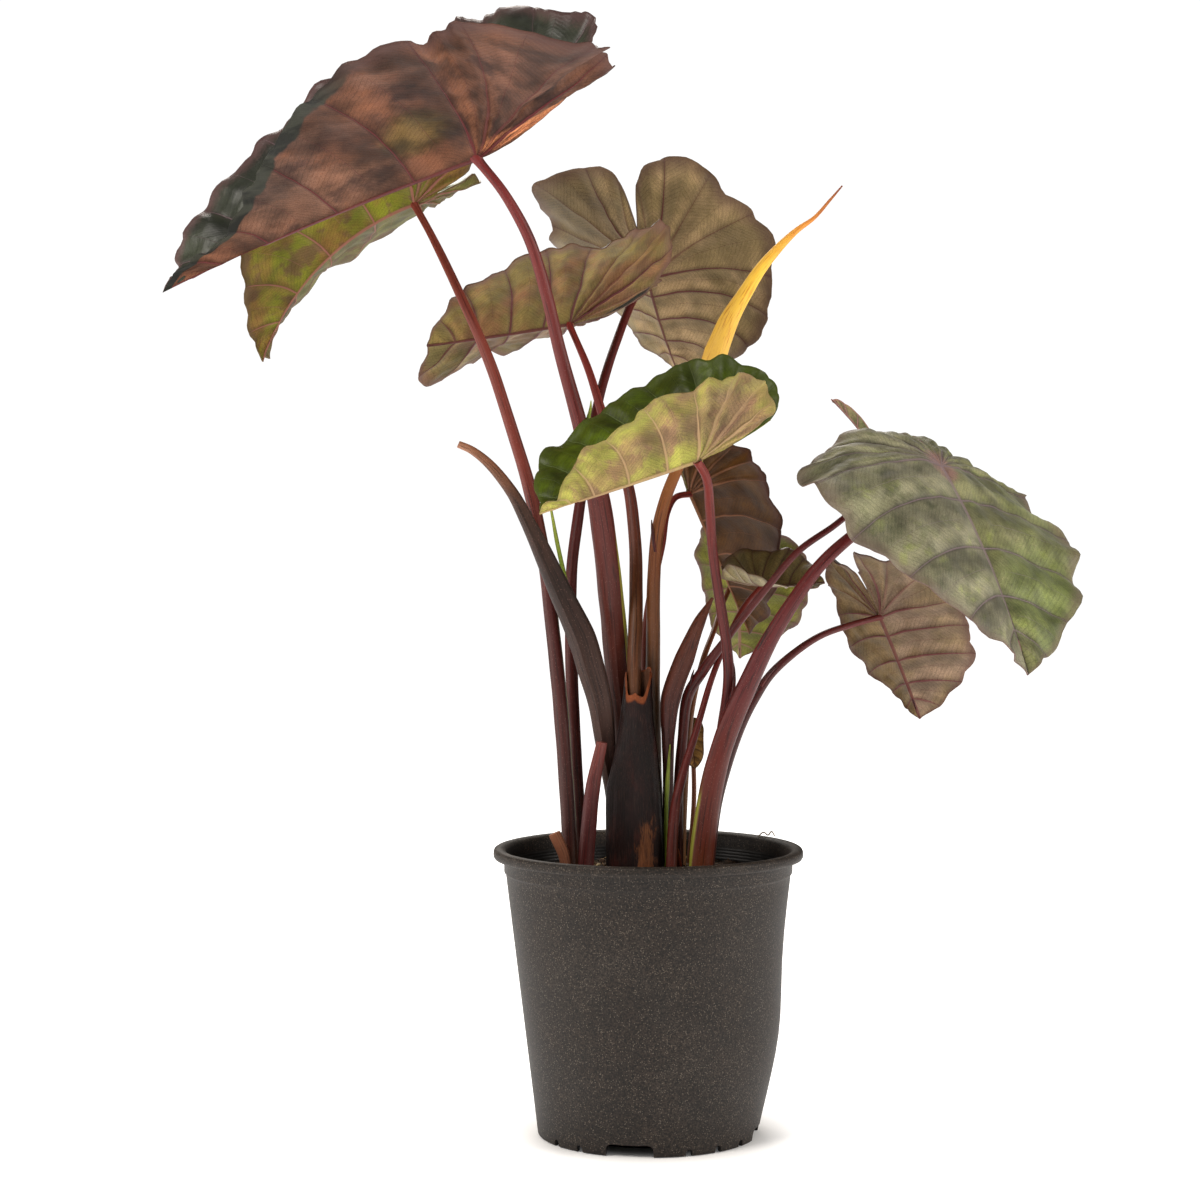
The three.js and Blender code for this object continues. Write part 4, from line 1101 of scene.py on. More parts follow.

# %% [markdown]
# Each leaf has two skins. The underside shows the veins best: ribs of another colour stand on a
# paler skin. The upper skin is darker and glossier, with sunken veins. The same layout makes all
# of them, from a short look: two tones for each half, the veins and the margin, then patches at
# fixed places, blotches that follow the veins, and on one leaf a dark band along a rolled margin,
# whose darkness is partly painted shade. Painted light and shade lies over every skin: each fold
# of the blade is made lighter or darker, one side of every vein is darker, and the creases beside
# the veins are darker. Strengths that a look doesn't name come from the plain look.

# %% Skin of a leaf
PLAIN_LOOK = {
    "patches": [],
    "blotches": [],
    # painted light and shade: depth sets how much each fold is lightened or darkened, and the next
    # two keys how dark one side of each vein and the creases beside the veins are
    "depth": 0.32,
    "vein_side_shade": 0.16,
    "crease_shade": 0.3,
    "halo": 0.35,
    "rib": 0.85,
    "brim": 0.7,
    "rough": 0.42,
    "through": 0.0,
    "sheen": 0.0,
    "specular": 0.22,
}


def leaf_skin(name, look, under, size):
    look = {**PLAIN_LOOK, "right": look["left"], **look}
    bench = Bench(name)
    words = ("vein", "gap", "run", "reach", "half", "rank")
    vein, gap, run, reach, half, rank = (bench.number(word) for word in words)
    flat = bench.vector("flat")
    p, q, out = bench.parts(flat)
    skin = bench.stretched(flat, (1, 1, 0))
    broad = bench.speckle(skin, 0.022, 4, 0.6)
    cloud = bench.span(broad, 0.38, 0.62)
    fine = bench.speckle(skin, 0.35, 4, 0.65)
    halves = []
    for main, patch in (look["left"], look["right"]):
        halves.append(bench.blend(cloud, tint(*main), tint(*patch)))
    left = bench.math("GREATER_THAN", half, 0.0)
    colour = bench.blend(left, halves[1], halves[0])
    for centre_p, centre_q, wide, high, strength, shade in look["patches"]:
        off_p = bench.math("DIVIDE", bench.math("SUBTRACT", p, centre_p), wide)
        off_q = bench.math("DIVIDE", bench.math("SUBTRACT", q, centre_q), high)
        off = bench.math("ADD", bench.math("POWER", off_p, 2.0), bench.math("POWER", off_q, 2.0))
        off = bench.pushed(off, fine, 1.4)
        share = bench.times(bench.span(off, 0.25, 1.5, 1.0, 0.0), strength)
        colour = bench.blend(share, colour, tint(*shade))
    along_vein = bench.node("CombineXYZ")
    bench.feed(along_vein.inputs[0], bench.times(vein, 1.3))
    bench.feed(along_vein.inputs[1], bench.times(run, 0.03))
    bench.feed(along_vein.inputs[2], bench.times(half, 7.3))
    for scale, low, high, strength, shade in look["blotches"]:
        blotch = bench.speckle(bench.stretched(along_vein.outputs[0], scale), 1.0, 4, 0.62)
        blotch = bench.times(bench.span(blotch, low, high), strength)
        colour = bench.blend(blotch, colour, tint(*shade))
    away = bench.times(bench.math("PINGPONG", vein, 0.5), gap)
    between = bench.times(bench.math("PINGPONG", bench.math("ADD", vein, 0.5), 0.5), gap)
    slant = bench.scaled(away, -0.75, run)
    slant = bench.pushed(slant, fine, 3.0)
    stripe = bench.math("SINE", bench.times(slant, 1.9))
    hair = bench.math("SINE", bench.times(slant, 5.3))
    lines = bench.scaled(stripe, 0.5, bench.times(hair, 0.3))
    shaded = bench.blend(0.3, colour, tint(30, 24, 20), "MULTIPLY")
    colour = bench.blend(bench.span(lines, 0.0, 0.9), colour, shaded)
    # painted light and shade: a noise along the veins makes each fold of the blade lighter or
    # darker
    fold_shade = bench.speckle(along_vein.outputs[0], 1.5, 3, 0.55)
    depth = look["depth"]
    fold_shade = bench.span(fold_shade, 0.3, 0.7, 1 - depth, 1 + 0.7 * depth)
    colour = bench.blend(1.0, colour, fold_shade, "MULTIPLY")
    # painted shade: one side of every vein is darker, as if the light came from the other side
    vein_side_shade = bench.math("SINE", bench.times(vein, 2 * math.pi))
    vein_side_shade = bench.scaled(vein_side_shade, look["vein_side_shade"], 1.0)
    colour = bench.blend(1.0, colour, vein_side_shade, "MULTIPLY")
    # painted shade in the creases on both sides of each vein
    crease_shade = bench.times(bench.span(away, 0.4, 2.8 * size, 1.0, 0.0), rank)
    crease_shade = bench.scaled(crease_shade, -look["crease_shade"], 1.0)
    colour = bench.blend(1.0, colour, crease_shade, "MULTIPLY")
    grit = bench.speckle(skin, 1.1, 2, 0.6)
    colour = bench.blend(1.0, colour, bench.span(grit, 0.3, 0.7, 0.8, 1.2), "MULTIPLY")
    light = bench.blend(0.5, colour, tint(255, 240, 220), "SOFT_LIGHT")
    colour = bench.blend(bench.span(fine, 0.5, 0.75, 0.0, 0.4), colour, light)
    rib_width = bench.scaled(reach, -0.55 * size, 0.85 * size)
    rib = bench.span(bench.math("DIVIDE", away, rib_width), 0.6, 1.0, 1.0, 0.0)
    rib = bench.times(rib, bench.span(rank, 0.1, 0.8, 0.0, 1.0))
    thin = bench.math("DIVIDE", between, bench.times(rib_width, 0.4))
    thin = bench.span(thin, 0.4, 1.3, 1.0, 0.0)
    thin = bench.times(thin, bench.span(reach, 0.1, 0.3))
    ahead = bench.span(p, -3.0, 1.0)
    tapered = bench.span(p, 0.0, 200.0 * size)
    mid_width = bench.scaled(tapered, -1.2 * size, 1.9 * size)
    mid = bench.span(bench.math("DIVIDE", out, mid_width), 0.55, 1.15, 1.0, 0.0)
    mid = bench.times(mid, ahead)
    rib = bench.math("MAXIMUM", rib, mid)
    halo = bench.span(away, 0.8, 4.5 * size, 0.3, 0.0)
    halo = bench.times(bench.times(halo, rank), look["halo"])
    colour = bench.blend(halo, colour, tint(*look["vein"]))
    colour = bench.blend(bench.times(thin, 0.35), colour, tint(*look["vein"]))
    colour = bench.blend(bench.times(rib, look["rib"]), colour, tint(*look["vein"]))
    brim = bench.pushed(reach, fine, 0.12)
    brim = bench.span(brim, 0.9 - 0.04 / size, 1.0)
    brim = bench.times(brim, look["brim"])
    colour = bench.blend(brim, colour, tint(*look["edge"]))
    # painted shade: on one leaf a band along the rolled margin takes a dark upper-side colour, and
    # it is darker still where the painted fold shade is dark
    if "band" in look:
        last_vein, start, grow, shade = look["band"]
        edge = bench.scaled(vein, -grow, reach)
        edge = bench.pushed(edge, broad, 0.25)
        band = bench.span(edge, start, start + 0.03)
        band = bench.times(band, bench.span(vein, last_vein - 1, last_vein, 1.0, 0.0))
        band = bench.times(band, left)
        folded = bench.blend(bench.span(fold_shade, 0.7, 1.2), tint(27, 28, 23), tint(*shade))
        colour = bench.blend(band, colour, folded)
    sign = 1.0 if under else -1.0
    height = bench.scaled(rib, 0.6 * sign, bench.times(lines, 0.07))
    height = bench.scaled(thin, 0.3 * sign, height)
    height = bench.scaled(fine, 0.25, height)
    rough = bench.scaled(fine, 0.22, look["rough"])
    return bench.finish(
        colour,
        rough,
        bench.relief(height, 0.8, 0.8),
        through=look["through"],
        sheen=look["sheen"],
        specular=look["specular"],
    )


# %% [markdown]
# The leaves of one clump differ in age and light. Old ones are brown and mauve, some are olive,
# and those with light behind them glow yellow-green. These are the looks of the undersides. A look
# without a right half has both halves alike.

# %% Looks of the undersides
WITHERED = {
    "left": ((136, 102, 52), (110, 76, 39)),
    "vein": (84, 54, 36),
    "edge": (60, 36, 28),
    "rough": 0.6,
}
UNDER_LOOKS = {
    "leaf_1": {
        "left": ((105, 66, 46), (84, 53, 38)),
        "vein": (96, 38, 40),
        "edge": (88, 62, 58),
        "patches": [
            (30, 42, 28, 20, 0.5, (94, 84, 38)),
            (70, 60, 30, 16, 0.45, (58, 38, 34)),
            (10, 88, 34, 26, 0.4, (62, 40, 36)),
            (-70, 62, 50, 40, 0.4, (98, 70, 60)),
            (150, 46, 46, 20, 0.4, (96, 78, 70)),
            (125, 20, 70, 20, 0.5, (126, 92, 74)),
            # painted glow: a bright orange patch on the lobe stands for light shining through it
            # from behind
            (-45, 8, 40, 7, 0.85, (232, 150, 100)),
        ],
        "through": 0.1,
        # stronger painted light and shade on this leaf's folded places, vein sides and creases
        "depth": 0.56,
        "vein_side_shade": 0.24,
        "crease_shade": 0.4,
        # a dark band along the rolled margin; its darkness is partly painted shade
        "band": (4.9, 0.74, 0.042, (52, 53, 44)),
        "blotches": [
            ((1.2, 1.3, 1), 0.54, 0.66, 0.6, (54, 34, 30)),
            ((0.9, 1.1, 4), 0.56, 0.68, 0.25, (124, 92, 78)),
        ],
    },
    "leaf_2": {
        "left": ((130, 133, 37), (138, 104, 52)),
        "right": ((127, 125, 67), (117, 110, 59)),
        "vein": (170, 110, 96),
        "edge": (112, 90, 62),
        "brim": 0.8,
        "blotches": [((1.6, 1.2, 1), 0.5, 0.62, 0.75, (112, 80, 58))],
        "through": 0.3,
    },
    "leaf_3": {
        "left": ((120, 104, 54), (122, 86, 54)),
        "right": ((110, 98, 57), (116, 88, 59)),
        "vein": (84, 34, 38),
        "edge": (104, 74, 66),
        "through": 0.1,
    },
    "leaf_4": {
        "left": ((127, 110, 75), (142, 119, 84)),
        "right": ((120, 102, 68), (149, 125, 90)),
        "vein": (84, 34, 38),
        "edge": (80, 56, 50),
        "through": 0.1,
        "depth": 0.24,
        "patches": [(-50, 55, 50, 42, 0.6, (84, 70, 48))],
    },
    "leaf_5": {
        "left": ((167, 165, 76), (161, 138, 84)),
        "vein": (190, 156, 116),
        "edge": (140, 120, 80),
        "patches": [
            (-20, 34, 34, 24, 0.6, (136, 100, 88)),
            (30, 30, 20, 16, 0.5, (140, 106, 90)),
            (-40, 60, 30, 14, 0.45, (142, 112, 96)),
        ],
        "through": 0.2,
        "brim": 0.4,
        "rib": 0.7,
        "crease_shade": 0.16,
        "blotches": [((1.4, 1.2, 1), 0.48, 0.6, 0.65, (142, 104, 84))],
    },
    "leaf_6": {
        "left": ((88, 92, 24), (98, 98, 32)),
        "right": ((82, 52, 13), (67, 40, 12)),
        "vein": (124, 80, 54),
        "edge": (76, 46, 42),
        "through": 0.1,
    },
    "leaf_7": {
        "left": ((144, 130, 84), (150, 138, 100)),
        "vein": (110, 60, 60),
        "edge": (90, 62, 52),
    },
    "leaf_8": {
        "left": ((126, 102, 66), (112, 92, 60)),
        "right": ((122, 102, 72), (128, 106, 86)),
        "vein": (96, 34, 44),
        "edge": (84, 52, 46),
        "through": 0.12,
        "crease_shade": 0.14,
        "rib": 0.7,
    },
    "leaf_9": {
        "left": ((125, 114, 96), (116, 102, 90)),
        "vein": (130, 84, 90),
        "edge": (110, 84, 80),
    },
    "leaf_10": {
        "left": ((124, 123, 44), (118, 116, 50)),
        "right": ((124, 123, 44), (110, 110, 40)),
        "vein": (136, 96, 80),
        "edge": (104, 62, 76),
        "through": 0.25,
    },
    "leaf_11": WITHERED,
    "leaf_12": {
        "left": ((108, 110, 74), (150, 129, 92)),
        "right": ((104, 108, 71), (150, 129, 92)),
        "vein": (150, 110, 104),
        "edge": (170, 116, 108),
    },
}
print("looks of undersides:", len(UNDER_LOOKS))

# %% [markdown]
# The upper sides are dark and shine a little. Most are hardly seen, so they share one look, and
# only the leaves that show theirs have colours of their own. On the big left leaf these colours
# are darkened as painted shade, for the shade that its near half casts on its far half. The big
# right leaf turns its upper side to the viewer, with a pink spot where the stalk joins and paler
# and darker blotches.

# %% Looks of the upper sides, and both skins of every leaf
UPPER = {
    "left": ((74, 80, 66), (88, 88, 76)),
    "vein": (104, 84, 88),
    "edge": (92, 66, 66),
    "rough": 0.3,
    "halo": 0.3,
    "specular": 0.45,
}
UPPER_LOOKS = {
    # painted shade: this leaf's upper colours are far darker than the shared upper look
    "leaf_1": {
        **UPPER,
        "left": ((48, 50, 40), (34, 36, 29)),
        "right": ((50, 54, 42), (34, 38, 29)),
        "specular": 0.3,
    },
    "leaf_2": {**UPPER, "left": ((93, 114, 39), (104, 106, 50))},
    "leaf_5": {
        **UPPER,
        "left": ((54, 64, 8), (76, 94, 14)),
        "vein": (96, 110, 60),
        "edge": (70, 80, 36),
        "through": 0.12,
        "specular": 0.25,
    },
    "leaf_7": {
        **UPPER,
        "left": ((134, 122, 78), (120, 108, 68)),
        "vein": (104, 56, 58),
        "edge": (96, 66, 58),
    },
    "leaf_9": {
        "left": ((114, 113, 81), (100, 101, 63)),
        "right": ((114, 113, 87), (118, 115, 93)),
        "vein": (124, 106, 110),
        "edge": (108, 84, 80),
        "patches": [
            (0, 0, 16, 12, 0.6, (150, 96, 102)),
            (120, 40, 50, 40, 0.5, (94, 112, 44)),
            (60, 70, 60, 26, 0.4, (100, 110, 56)),
        ],
        "rough": 0.34,
        "rib": 0.7,
        "brim": 0.45,
        "crease_shade": 0.5,
        "depth": 0.42,
        "vein_side_shade": 0.24,
        "blotches": [
            ((2.6, 2.2, 1), 0.5, 0.68, 0.42, (66, 74, 42)),
            ((2.2, 1.8, 3), 0.54, 0.7, 0.4, (124, 134, 66)),
        ],
        "halo": 0.3,
        "sheen": 0.1,
    },
    "leaf_11": WITHERED,
    "leaf_12": {**UPPER, "left": ((96, 104, 64), (80, 88, 52))},
}
for leaf_name, blade in BLADES.items():
    size = leaf_size(LEAVES[leaf_name])
    upper_look = UPPER_LOOKS.get(leaf_name, UPPER)
    upper = leaf_skin(f"{leaf_name}_upper_skin", upper_look, False, size)
    under = leaf_skin(f"{leaf_name}_under_skin", UNDER_LOOKS[leaf_name], True, size)
    blade.data.materials[0] = upper
    blade.data.materials[1] = under
    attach(blade, "root")
    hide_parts(leaf_name)
print("skins made for", len(BLADES), "blades")

# %% [markdown]
# Stalks are fleshy, round and smooth, thick and sheathed low down and thin where they meet the
# blade. A curve with a bevel would give a tube, but its section would be a perfect circle all
# along. A grid rolled into a tube keeps every point free for ribs, flats and swellings, and lets
# the last ring lie snugly on the underside of its blade.

# %% Stalk table
STALKS = {
    "stalk_1": [
        (-12, 32, 150, 8), (-12, 32, 192, 9.2), (-16.5, 26, 291.5, 9.6), (-22, 24, 337, 9.6),
        (-27.5, 15, 398, 9.5), (-37, -2, 473, 8.7), (-50.5, -14, 527.5, 5.6),
        (-65.5, -26, 582.5, 4.8), (-74, -34, 618.5, 4.4), (-87, -42, 661, 4.2),
        (-104.5, -48, 693, 3.6), (-125.3, -50.1, 719.2, 3.2),
    ],
    "stalk_2": [
        (-58, 4, 150, 5), (-58, 4, 192, 5.4), (-60.5, 5, 248.5, 5.6), (-66, 8, 323.5, 5.6),
        (-71, 10, 372, 5.4), (-77, 12, 424, 5.2), (-88.5, 14, 480.5, 5), (-102, 20, 525.5, 4.6),
        (-120.5, 32, 580, 4.2), (-141, 50, 626, 3.6), (-165.5, 80, 676, 3),
        (-180.6, 95.4, 703, 2.6),
    ],
    "stalk_3": [
        (-10.5, 0, 285, 4.8), (-10.5, 0.5, 320, 5), (-10.5, 8, 353, 5.4), (-9, 26, 397.5, 5.2),
        (-9.5, 44, 442.5, 4.8), (-14.5, 62, 483.5, 4.4), (-24.5, 78, 511.5, 4),
        (-34.5, 92, 541, 3.6), (-45.5, 106, 576, 3), (-60.7, 120.3, 612, 2.4),
    ],
    "stalk_4": [
        (-49, 17, 150, 4.6), (-49, 17, 192, 5), (-52.5, 20, 247, 5), (-56.5, 30, 321.5, 4.8),
        (-58, 42, 370.5, 4.6), (-57.5, 56, 419.5, 4.4), (-52, 75, 465, 4.2),
        (-41.5, 115, 528, 3.9), (-34.5, 140, 562, 3.7), (-22.5, 172, 601, 3.5),
        (-8, 205, 638, 3.2), (4, 225.6, 655.7, 2.8),
    ],
    "stalk_5": [
        (40, 22, 150, 4.6), (40, 22, 192, 4.8), (49, 16, 255, 4.6), (56.5, 5, 307, 4.4),
        (59.5, -8, 339.5, 4.2), (58, -14, 362, 4), (53, -22, 393.5, 3.8), (46.5, -34, 434.5, 3.6),
        (43.5, -54, 465.5, 3.4), (40, -76, 488.5, 3.2), (32.6, -88.6, 500.9, 2.8),
    ],
    "stalk_6": [
        (0, 44, 150, 3.4), (0, 44, 192, 3.6), (-1.5, 46, 320.5, 3.4), (-1, 52, 373.5, 3.2),
        (4.5, 58, 408, 3), (11.5, 70, 438.5, 2.8), (16, 84, 463.5, 2.6), (23, 94, 475, 2.4),
        (35, 102.5, 477.8, 2.2),
    ],
    "stalk_7": [
        (17, -12, 150, 4), (17, -12, 192, 4.4), (20, -6, 242.5, 4), (26.5, 0, 271, 3.2),
        (35.5, 4, 299, 2.6), (48.5, 12, 341, 2.3), (61.5, 18, 372, 2.2), (74, 26, 394.5, 2),
        (87.1, 32.3, 408.5, 1.8),
    ],
    "stalk_8": [
        (45, 7, 150, 4), (45, 7, 192, 4.2), (51.5, 5, 245, 3.9), (59.5, 3, 276.5, 3.8),
        (70, 2, 306.5, 3.8), (81, 3, 327.5, 3.7), (92.5, 6, 343.5, 3.3), (111.5, 10, 360, 2.8),
        (130.5, 16, 371.5, 2.6), (152.5, 26, 378.5, 2.4), (177.4, 40.4, 384.3, 2),
    ],
    "stalk_9": [
        (38, -13, 150, 8.6), (38, -13, 192, 9), (42.5, -14, 235.5, 8.8), (48.5, -15, 269.5, 8.4),
        (58, -16, 301.5, 8.1), (71, -22, 333, 7.7), (88, -32, 370, 6.2), (108.5, -40, 404, 5.2),
        (126, -41, 427, 4.7), (146.5, -37, 445.5, 4.3), (172.5, -30, 464, 3.9),
        (194.5, -30, 478.5, 3.6), (211.5, -50.6, 497.8, 3),
    ],
    "stalk_10": [
        (26, 40, 150, 3), (26, 40, 192, 3.2), (32.5, 46, 305, 2.6), (42.5, 66, 347, 2.3),
        (53, 96, 371.5, 2.2), (59.5, 124, 387.5, 2.1), (67, 148, 401, 2),
        (75.1, 176.8, 415.2, 1.8),
    ],
    "stalk_11": [
        (33, 68, 150, 2), (33, 68, 192, 2), (36.5, 70, 241.5, 1.9), (36, 71, 272, 1.8),
        (34.1, 67.9, 294.3, 1.6),
    ],
    "stalk_12": [
        (23, 25, 150, 3.8), (23, 25, 192, 4), (23.5, 23, 261.5, 3.8), (26, 20, 292, 3.8),
        (30, 18, 325, 4.2), (40.5, 12, 344, 4), (62.5, 2, 375, 2.8), (88.5, -18, 410, 2.6),
        (110, -25, 435.5, 2.5), (138, -17, 455, 2.4), (161.5, -2, 474.5, 2.3), (173, 10, 493, 2),
        (169.7, 16.3, 510.3, 1.7),
    ],
}
SPEARS = {
    "spathe_stalk": [
        (8, 27, 150, 5), (8, 27, 192, 5.4), (5, 26, 276.5, 5.5), (4, 25, 329.5, 5.5),
        (4, 24, 367.5, 5.4), (4.5, 22, 412.5, 5), (7.5, 21, 450.5, 4.6), (13.5, 20, 474.5, 4.4),
        (24, 20, 501.5, 4.2), (34.5, 20, 533, 4.2), (42, 20, 556.4, 4.2),
    ],
    "spathe": [
        (42.1, 20, 556.7, 4.2), (45.5, 20, 568.5, 7.5), (51, 20, 583.5, 9), (60, 20, 606, 7.4),
        (71, 22, 625, 5.6), (84, 25, 645.5, 4.5), (99.5, 29, 663.5, 3.3), (112.5, 33, 676, 2.3),
        (125.5, 36, 685.5, 1.5), (137.5, 39, 699, 1.1), (147, 41, 710, 0.6),
    ],
    "rolled_leaf": [
        (15, 14, 150, 4.6), (15, 14, 192, 4.6), (15, 13, 247.5, 4), (15, 12, 274, 4.2),
        (15, 11, 296.5, 5), (17, 10, 324.5, 7.6), (27, 8, 354, 7.4), (38.5, 5, 382.5, 4.4),
        (48, 3, 400, 1),
    ],
    "stump_1": [
        (-26, 22, 150, 5), (-26, 22, 192, 5.2), (-26, 20, 247, 5.4), (-31.5, 9, 289.5, 7.6),
        (-36, -2, 324, 9.4), (-43.5, -7, 351, 10.4), (-49.5, -8, 371, 10.6), (-63.5, -9, 401, 9),
        (-77.5, -9, 432, 7.2), (-89.5, -10, 457, 5.4), (-101, -11, 478.5, 4.5),
        (-117, -12, 498.5, 3.7), (-130.5, -13, 509.5, 3), (-140.5, -14, 514, 2.6),
    ],
    "stump_2": [
        (-47, -17, 150, 5.6), (-47, -17, 192, 5.9), (-44, -17, 234, 5.8), (-41, -18, 262, 5.4),
        (-34.5, -19, 294, 3.9),
    ],
    "stump_3": [
        (-61, -15, 155, 4), (-61, -15, 196, 4.2), (-62.5, -15, 209, 4.4), (-70, -15, 226, 4.4),
    ],
}
print("stalks and spears:", len(STALKS) + len(SPEARS))


# %% A smooth line through a stalk's stations
def line_points(stations, shares):
    places = np.array([station[:3] for station in stations], dtype=float)
    last = len(places) - 1
    padded = np.vstack([2 * places[0] - places[1], places, 2 * places[-1] - places[-2]])
    out = []
    for share in shares:
        at = share * last
        before = min(last - 1, int(at))
        t = at - before
        a, b, c, d = padded[before : before + 4]
        one, two, three = (max(np.linalg.norm(v) ** 0.5, 1e-4) for v in (b - a, c - b, d - c))
        lean_b = ((b - a) / one - (c - a) / (one + two) + (c - b) / two) * two
        lean_c = ((c - b) / two - (d - b) / (two + three) + (d - c) / three) * two
        square = -3 * b + 3 * c - 2 * lean_b - lean_c
        cube = 2 * b - 2 * c + lean_b + lean_c
        out.append(b + lean_b * t + square * t * t + cube * t**3)
    return np.array(out)


def stem_frames(stations, rows):
    shares = np.linspace(0, 1, rows + 1)
    middle = line_points(stations, shares)
    near = line_points(stations, np.clip(shares - 0.002, 0, 1))
    far = line_points(stations, np.clip(shares + 0.002, 0, 1))
    tangent = far - near
    tangent /= np.linalg.norm(tangent, axis=1)[:, None]
    across = np.empty_like(tangent)
    current = np.array([0.0, -1.0, 0.0])
    for row, way in enumerate(tangent):
        current = current - way * current.dot(way)
        current /= np.linalg.norm(current)
        across[row] = current
    up = np.cross(tangent, across)
    at = shares * (len(stations) - 1)
    radius = np.interp(at, range(len(stations)), [station[3] for station in stations])
    along = np.concatenate([[0], np.cumsum(np.linalg.norm(np.diff(middle, axis=0), axis=1))])
    return middle, tangent, across, up, radius, along


def row_count(stations, spacing, spare):
    steps = np.diff(np.array(stations)[:, :3], axis=0)
    return int(np.linalg.norm(steps, axis=1).sum() / spacing) + spare


# %% [markdown]
# The tube is closed at both ends. A groove can run along one side, where a sheath's two edges meet.
# Where the tube carries a blade, rays from its last rings find the blade's underside, so the stalk
# spreads onto it and never shows through on the other side.

# %% Model one stem
STEM_SIDES = 20
JOINED_ROWS = 3
RAY_START = 14
RAY_LENGTH = 0.05
MOST_BACK = -7
MOST_AHEAD = 2.5
SUNK_IN = 0.25


def make_stem(name, stations, rows, seed, flute=0.03, blade=None, groove=None):
    stem = new_grid(name, STEM_SIDES, rows)
    net = points_of(stem)
    row = np.rint((net[:, 1] + 1) / 2 * rows).astype(int)
    angle = np.pi * (net[:, 0] + 1)
    middle, tangent, across, up, radius, along = stem_frames(stations, rows)
    thick = radius[row]
    wander = np.array(
        [
            noise.noise(Vector((math.cos(a) * 1.3, math.sin(a) * 1.3, s / 26 + seed)))
            for a, s in zip(angle, along[row])
        ]
    )
    ridges = flute * (0.6 * np.cos(5 * angle + seed) + 0.4 * np.cos(9 * angle + 2 * seed))
    thick = thick * (1 + 0.05 * wander + ridges)
    if groove is not None:
        turn, deep, first, last = groove
        ahead = np.cos(angle - 2 * np.pi * turn)
        here = smooth_share(first, first + 0.1, along[row] / along[-1])
        here = here * smooth_share(last, last - 0.1, along[row] / along[-1])
        thick = thick * (1 - deep * here * smooth_share(0.72, 1, ahead))
    if blade is not None:
        thick = thick * (1 + 0.3 * np.exp(-(along[-1] - along[row]) / 5.0))
    ring = np.cos(angle)[:, None] * across[row] + np.sin(angle)[:, None] * up[row]
    places = middle[row] + ring * thick[:, None]
    if blade is not None:
        tree = BVHTree.FromObject(blade, bpy.context.evaluated_depsgraph_get())
        for index in np.nonzero(row >= rows - JOINED_ROWS)[0]:
            way = tangent[row[index]]
            back = places[index] - way * RAY_START
            hit = tree.ray_cast(Vector(back * MM), Vector(way), RAY_LENGTH)[0]
            if hit is not None:
                shift = np.dot(np.array(hit) / MM - places[index], way) + SUNK_IN
                if shift < 0 or row[index] == rows:
                    places[index] += way * np.clip(shift, MOST_BACK, MOST_AHEAD)
    round_places = np.column_stack([np.cos(angle), np.sin(angle), 0 * angle])
    grain = np.column_stack([np.cos(angle) * thick, np.sin(angle) * thick, along[row]])
    write_numbers(stem, along=along[row] / along[-1])
    write_vectors(stem, grain=grain, around=round_places)
    move_points(stem, places)
    close_tube(stem)
    return stem


GROOVES = {
    "stump_1": (0.06, 0.34, 0.2, 0.86),
    "stump_2": (0.1, 0.2, 0.2, 1.1),
    "stalk_1": (0.12, 0.16, 0.1, 0.5),
    "stalk_2": (0.9, 0.14, 0.1, 0.45),
    "stalk_9": (0.95, 0.14, 0.1, 0.45),
    "rolled_leaf": (0.05, 0.3, 0.5, 1.1),
}
STEMS = {}
for seed, (stalk_name, stations) in enumerate(STALKS.items()):
    number = stalk_name.split("_")[1]
    rows = row_count(stations, spacing=4, spare=12)
    blade = BLADES[f"leaf_{number}"]
    groove = GROOVES.get(stalk_name)
    stem = make_stem(f"stem_{number}", stations, rows, seed * 2.3, blade=blade, groove=groove)
    STEMS[stalk_name] = stem
for seed, (spear_name, stations) in enumerate(SPEARS.items()):
    rows = row_count(stations, spacing=3, spare=12)
    flute = 0.02 if spear_name == "spathe" else 0.05
    groove = GROOVES.get(spear_name)
    stem = make_stem(f"{spear_name}_skin", stations, rows, 40 + seed * 1.9, flute, groove=groove)
    STEMS[spear_name] = stem
print("stem faces:", sum(len(stem.data.polygons) for stem in STEMS.values()))

# %% [markdown]
# A stalk changes colour along its length: dull brown at the sheath, wine red further up, on some
# with a green side. Long streaks and small pale flecks follow the fibres. The extras say where
# that side faces, how wide it is, where it starts and ends along the stalk, and its colour.

